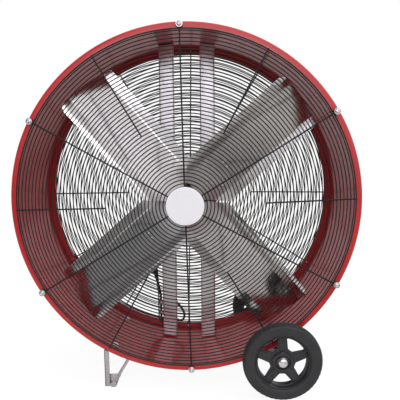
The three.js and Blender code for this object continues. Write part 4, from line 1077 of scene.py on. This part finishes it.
# ------------------------------------------------------------ stage
def stage():
    bpy.ops.mesh.primitive_circle_add(vertices=96, radius=14.0, fill_type="NGON", location=(0, 0, 0))
    floor = bpy.context.object
    floor.name = "floor"
    f = Finish("floor_pale", (0.80, 0.79, 0.77), 0.8)
    f.b.inputs["Specular IOR Level"].default_value = 0.1
    # pale close to the object; painted shade makes the floor's colour darker far in front on the left, and a dark patch
    # is painted to the right of the object, which the metal reflects
    sep = f.node("ShaderNodeSeparateXYZ")
    geo = f.node("ShaderNodeNewGeometry")
    f.link(geo.outputs["Position"], sep.inputs[0])
    painted_shade_tones = [(0.0, (0.66, 0.65, 0.63)), (0.30, (0.84, 0.82, 0.78)), (0.42, (0.74, 0.72, 0.68)), (0.56, (0.30, 0.29, 0.275)), (0.68, (0.42, 0.405, 0.38)),
             (0.80, (0.66, 0.635, 0.59)), (1.0, (0.50, 0.48, 0.45))]
    # painted shade: the floor colour is scaled down towards the front left
    near = f.node("ShaderNodeMath", operation="MAXIMUM")
    f.link(f.spread(sep.outputs["Y"], 0.3, 1.0, -1.5, -0.85), near.inputs[0])
    f.link(f.spread(sep.outputs["X"], 0.3, 1.0, 0.3, 0.8), near.inputs[1])
    dim = f.node("ShaderNodeVectorMath", operation="SCALE")
    f.link(f.ramp(f.spread(sep.outputs["X"], 0.0, 1.0, -0.9, 2.1), painted_shade_tones), dim.inputs[0])
    f.link(near.outputs[0], dim.inputs["Scale"])
    f.link(dim.outputs["Vector"], f.b.inputs["Base Color"])
    seen = f.node("ShaderNodeEmission")
    seen.inputs["Color"].default_value = (1, 1, 1, 1)
    seen.inputs["Strength"].default_value = 1.0
    pale = f.node("ShaderNodeBsdfDiffuse")
    pale.inputs["Color"].default_value = (0.10, 0.10, 0.10, 1)
    white = f.node("ShaderNodeAddShader")
    f.link(seen.outputs[0], white.inputs[0])
    f.link(pale.outputs[0], white.inputs[1])
    seen.inputs["Strength"].default_value = 0.93
    path = f.node("ShaderNodeLightPath")
    mix = f.node("ShaderNodeMixShader")
    f.link(path.outputs["Is Camera Ray"], mix.inputs["Fac"])
    f.link(f.b.outputs["BSDF"], mix.inputs[1])
    f.link(white.outputs[0], mix.inputs[2])
    f.link(mix.outputs["Shader"], f.t.nodes["Material Output"].inputs["Surface"])
    floor.data.materials.append(f.mat)
    floor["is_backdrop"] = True

    world = bpy.data.worlds.new("studio")
    bpy.context.scene.world = world
    world.use_nodes = True
    t = world.node_tree
    out, bg = t.nodes["World Output"], t.nodes["Background"]
    coord = t.nodes.new("ShaderNodeTexCoord")

    def lobe(axis, inner, outer, color):
        """Light from around one direction, fading between two angles."""
        d = t.nodes.new("ShaderNodeVectorMath")
        d.operation = "DOT_PRODUCT"
        t.links.new(coord.outputs["Generated"], d.inputs[0])
        d.inputs[1].default_value = Vector(axis).normalized()
        m = t.nodes.new("ShaderNodeMapRange")
        m.interpolation_type = "SMOOTHSTEP"
        m.inputs["From Min"].default_value = math.cos(rad(outer))
        m.inputs["From Max"].default_value = math.cos(rad(inner))
        t.links.new(d.outputs["Value"], m.inputs["Value"])
        c = t.nodes.new("ShaderNodeVectorMath")
        c.operation = "SCALE"
        c.inputs[0].default_value = color
        t.links.new(m.outputs["Result"], c.inputs["Scale"])
        return c.outputs["Vector"]

    total = None
    for args in ROOM:
        add = t.nodes.new("ShaderNodeVectorMath")
        add.operation = "ADD"
        if total is None:
            add.inputs[0].default_value = EVEN
        else:
            t.links.new(total, add.inputs[0])
        t.links.new(lobe(*args), add.inputs[1])
        total = add.outputs["Vector"]
    t.links.new(total, bg.inputs["Color"])
    seen = t.nodes.new("ShaderNodeBackground")
    seen.inputs["Color"].default_value = (1, 1, 1, 1)
    path = t.nodes.new("ShaderNodeLightPath")
    mix = t.nodes.new("ShaderNodeMixShader")
    t.links.new(path.outputs["Is Camera Ray"], mix.inputs["Fac"])
    t.links.new(bg.outputs["Background"], mix.inputs[1])
    t.links.new(seen.outputs["Background"], mix.inputs[2])
    t.links.new(mix.outputs["Shader"], out.inputs["Surface"])

    def softbox(name, place, target, sx, sy, radiance, glossy=True):
        data = bpy.data.lights.new(name, "AREA")
        data.shape = "RECTANGLE"
        data.size, data.size_y = sx, sy
        data.energy = radiance * 4 * sx * sy
        ob = bpy.data.objects.new(name, data)
        bpy.context.scene.collection.objects.link(ob)
        ob.location = place
        ob.rotation_euler = (Vector(target) - Vector(place)).to_track_quat("-Z", "Y").to_euler()
        ob.visible_camera = False
        ob.visible_glossy = glossy
        return ob

    # fills that light paint and plastic without showing in the metal
    softbox("front_fill", (0.3, -4.5, 2.2), (0, 0, 0.6), 3.0, 3.0, 0.35, False)
    softbox("top_fill", (0.0, -0.9, 3.6), (0, -0.2, 0), 3.4, 2.4, 1.1, False)
    # the bright panel that draws a line along the upper lip
    panel = softbox("panel", (-0.15, -4.0, 1.72), (0, 0, 0.9), 2.2, 0.8, 2.0)
    panel.data.color = (1.0, 0.94, 1.0)


# light of the room: an even part, then lobes with axis, full inside, none outside, colour
EVEN = (0.25, 0.25, 0.26)
ROOM = [
    ((0, 1, 0), 60, 95, (0.62, 0.62, 0.63)),
    ((0.45, -0.62, 0.66), 30, 55, (0.86, 0.83, 0.86)),
    ((-0.10, -0.96, 0.26), 6, 34, (0.75, 0.75, 0.79)),
]


drum()
guard(-1, FRONT_DEG, 1.6, "front")
guard(1, REAR_DEG, 0.0, "rear")
badge()
screws()
struts()
spindle()
blades()
motor()
belt()
switchgear()
wheels()
brackets()
legs()
stage()

bpy.context.view_layer.update()
{"cad": CAD_BOX, "visual": [list(v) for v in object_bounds()]}
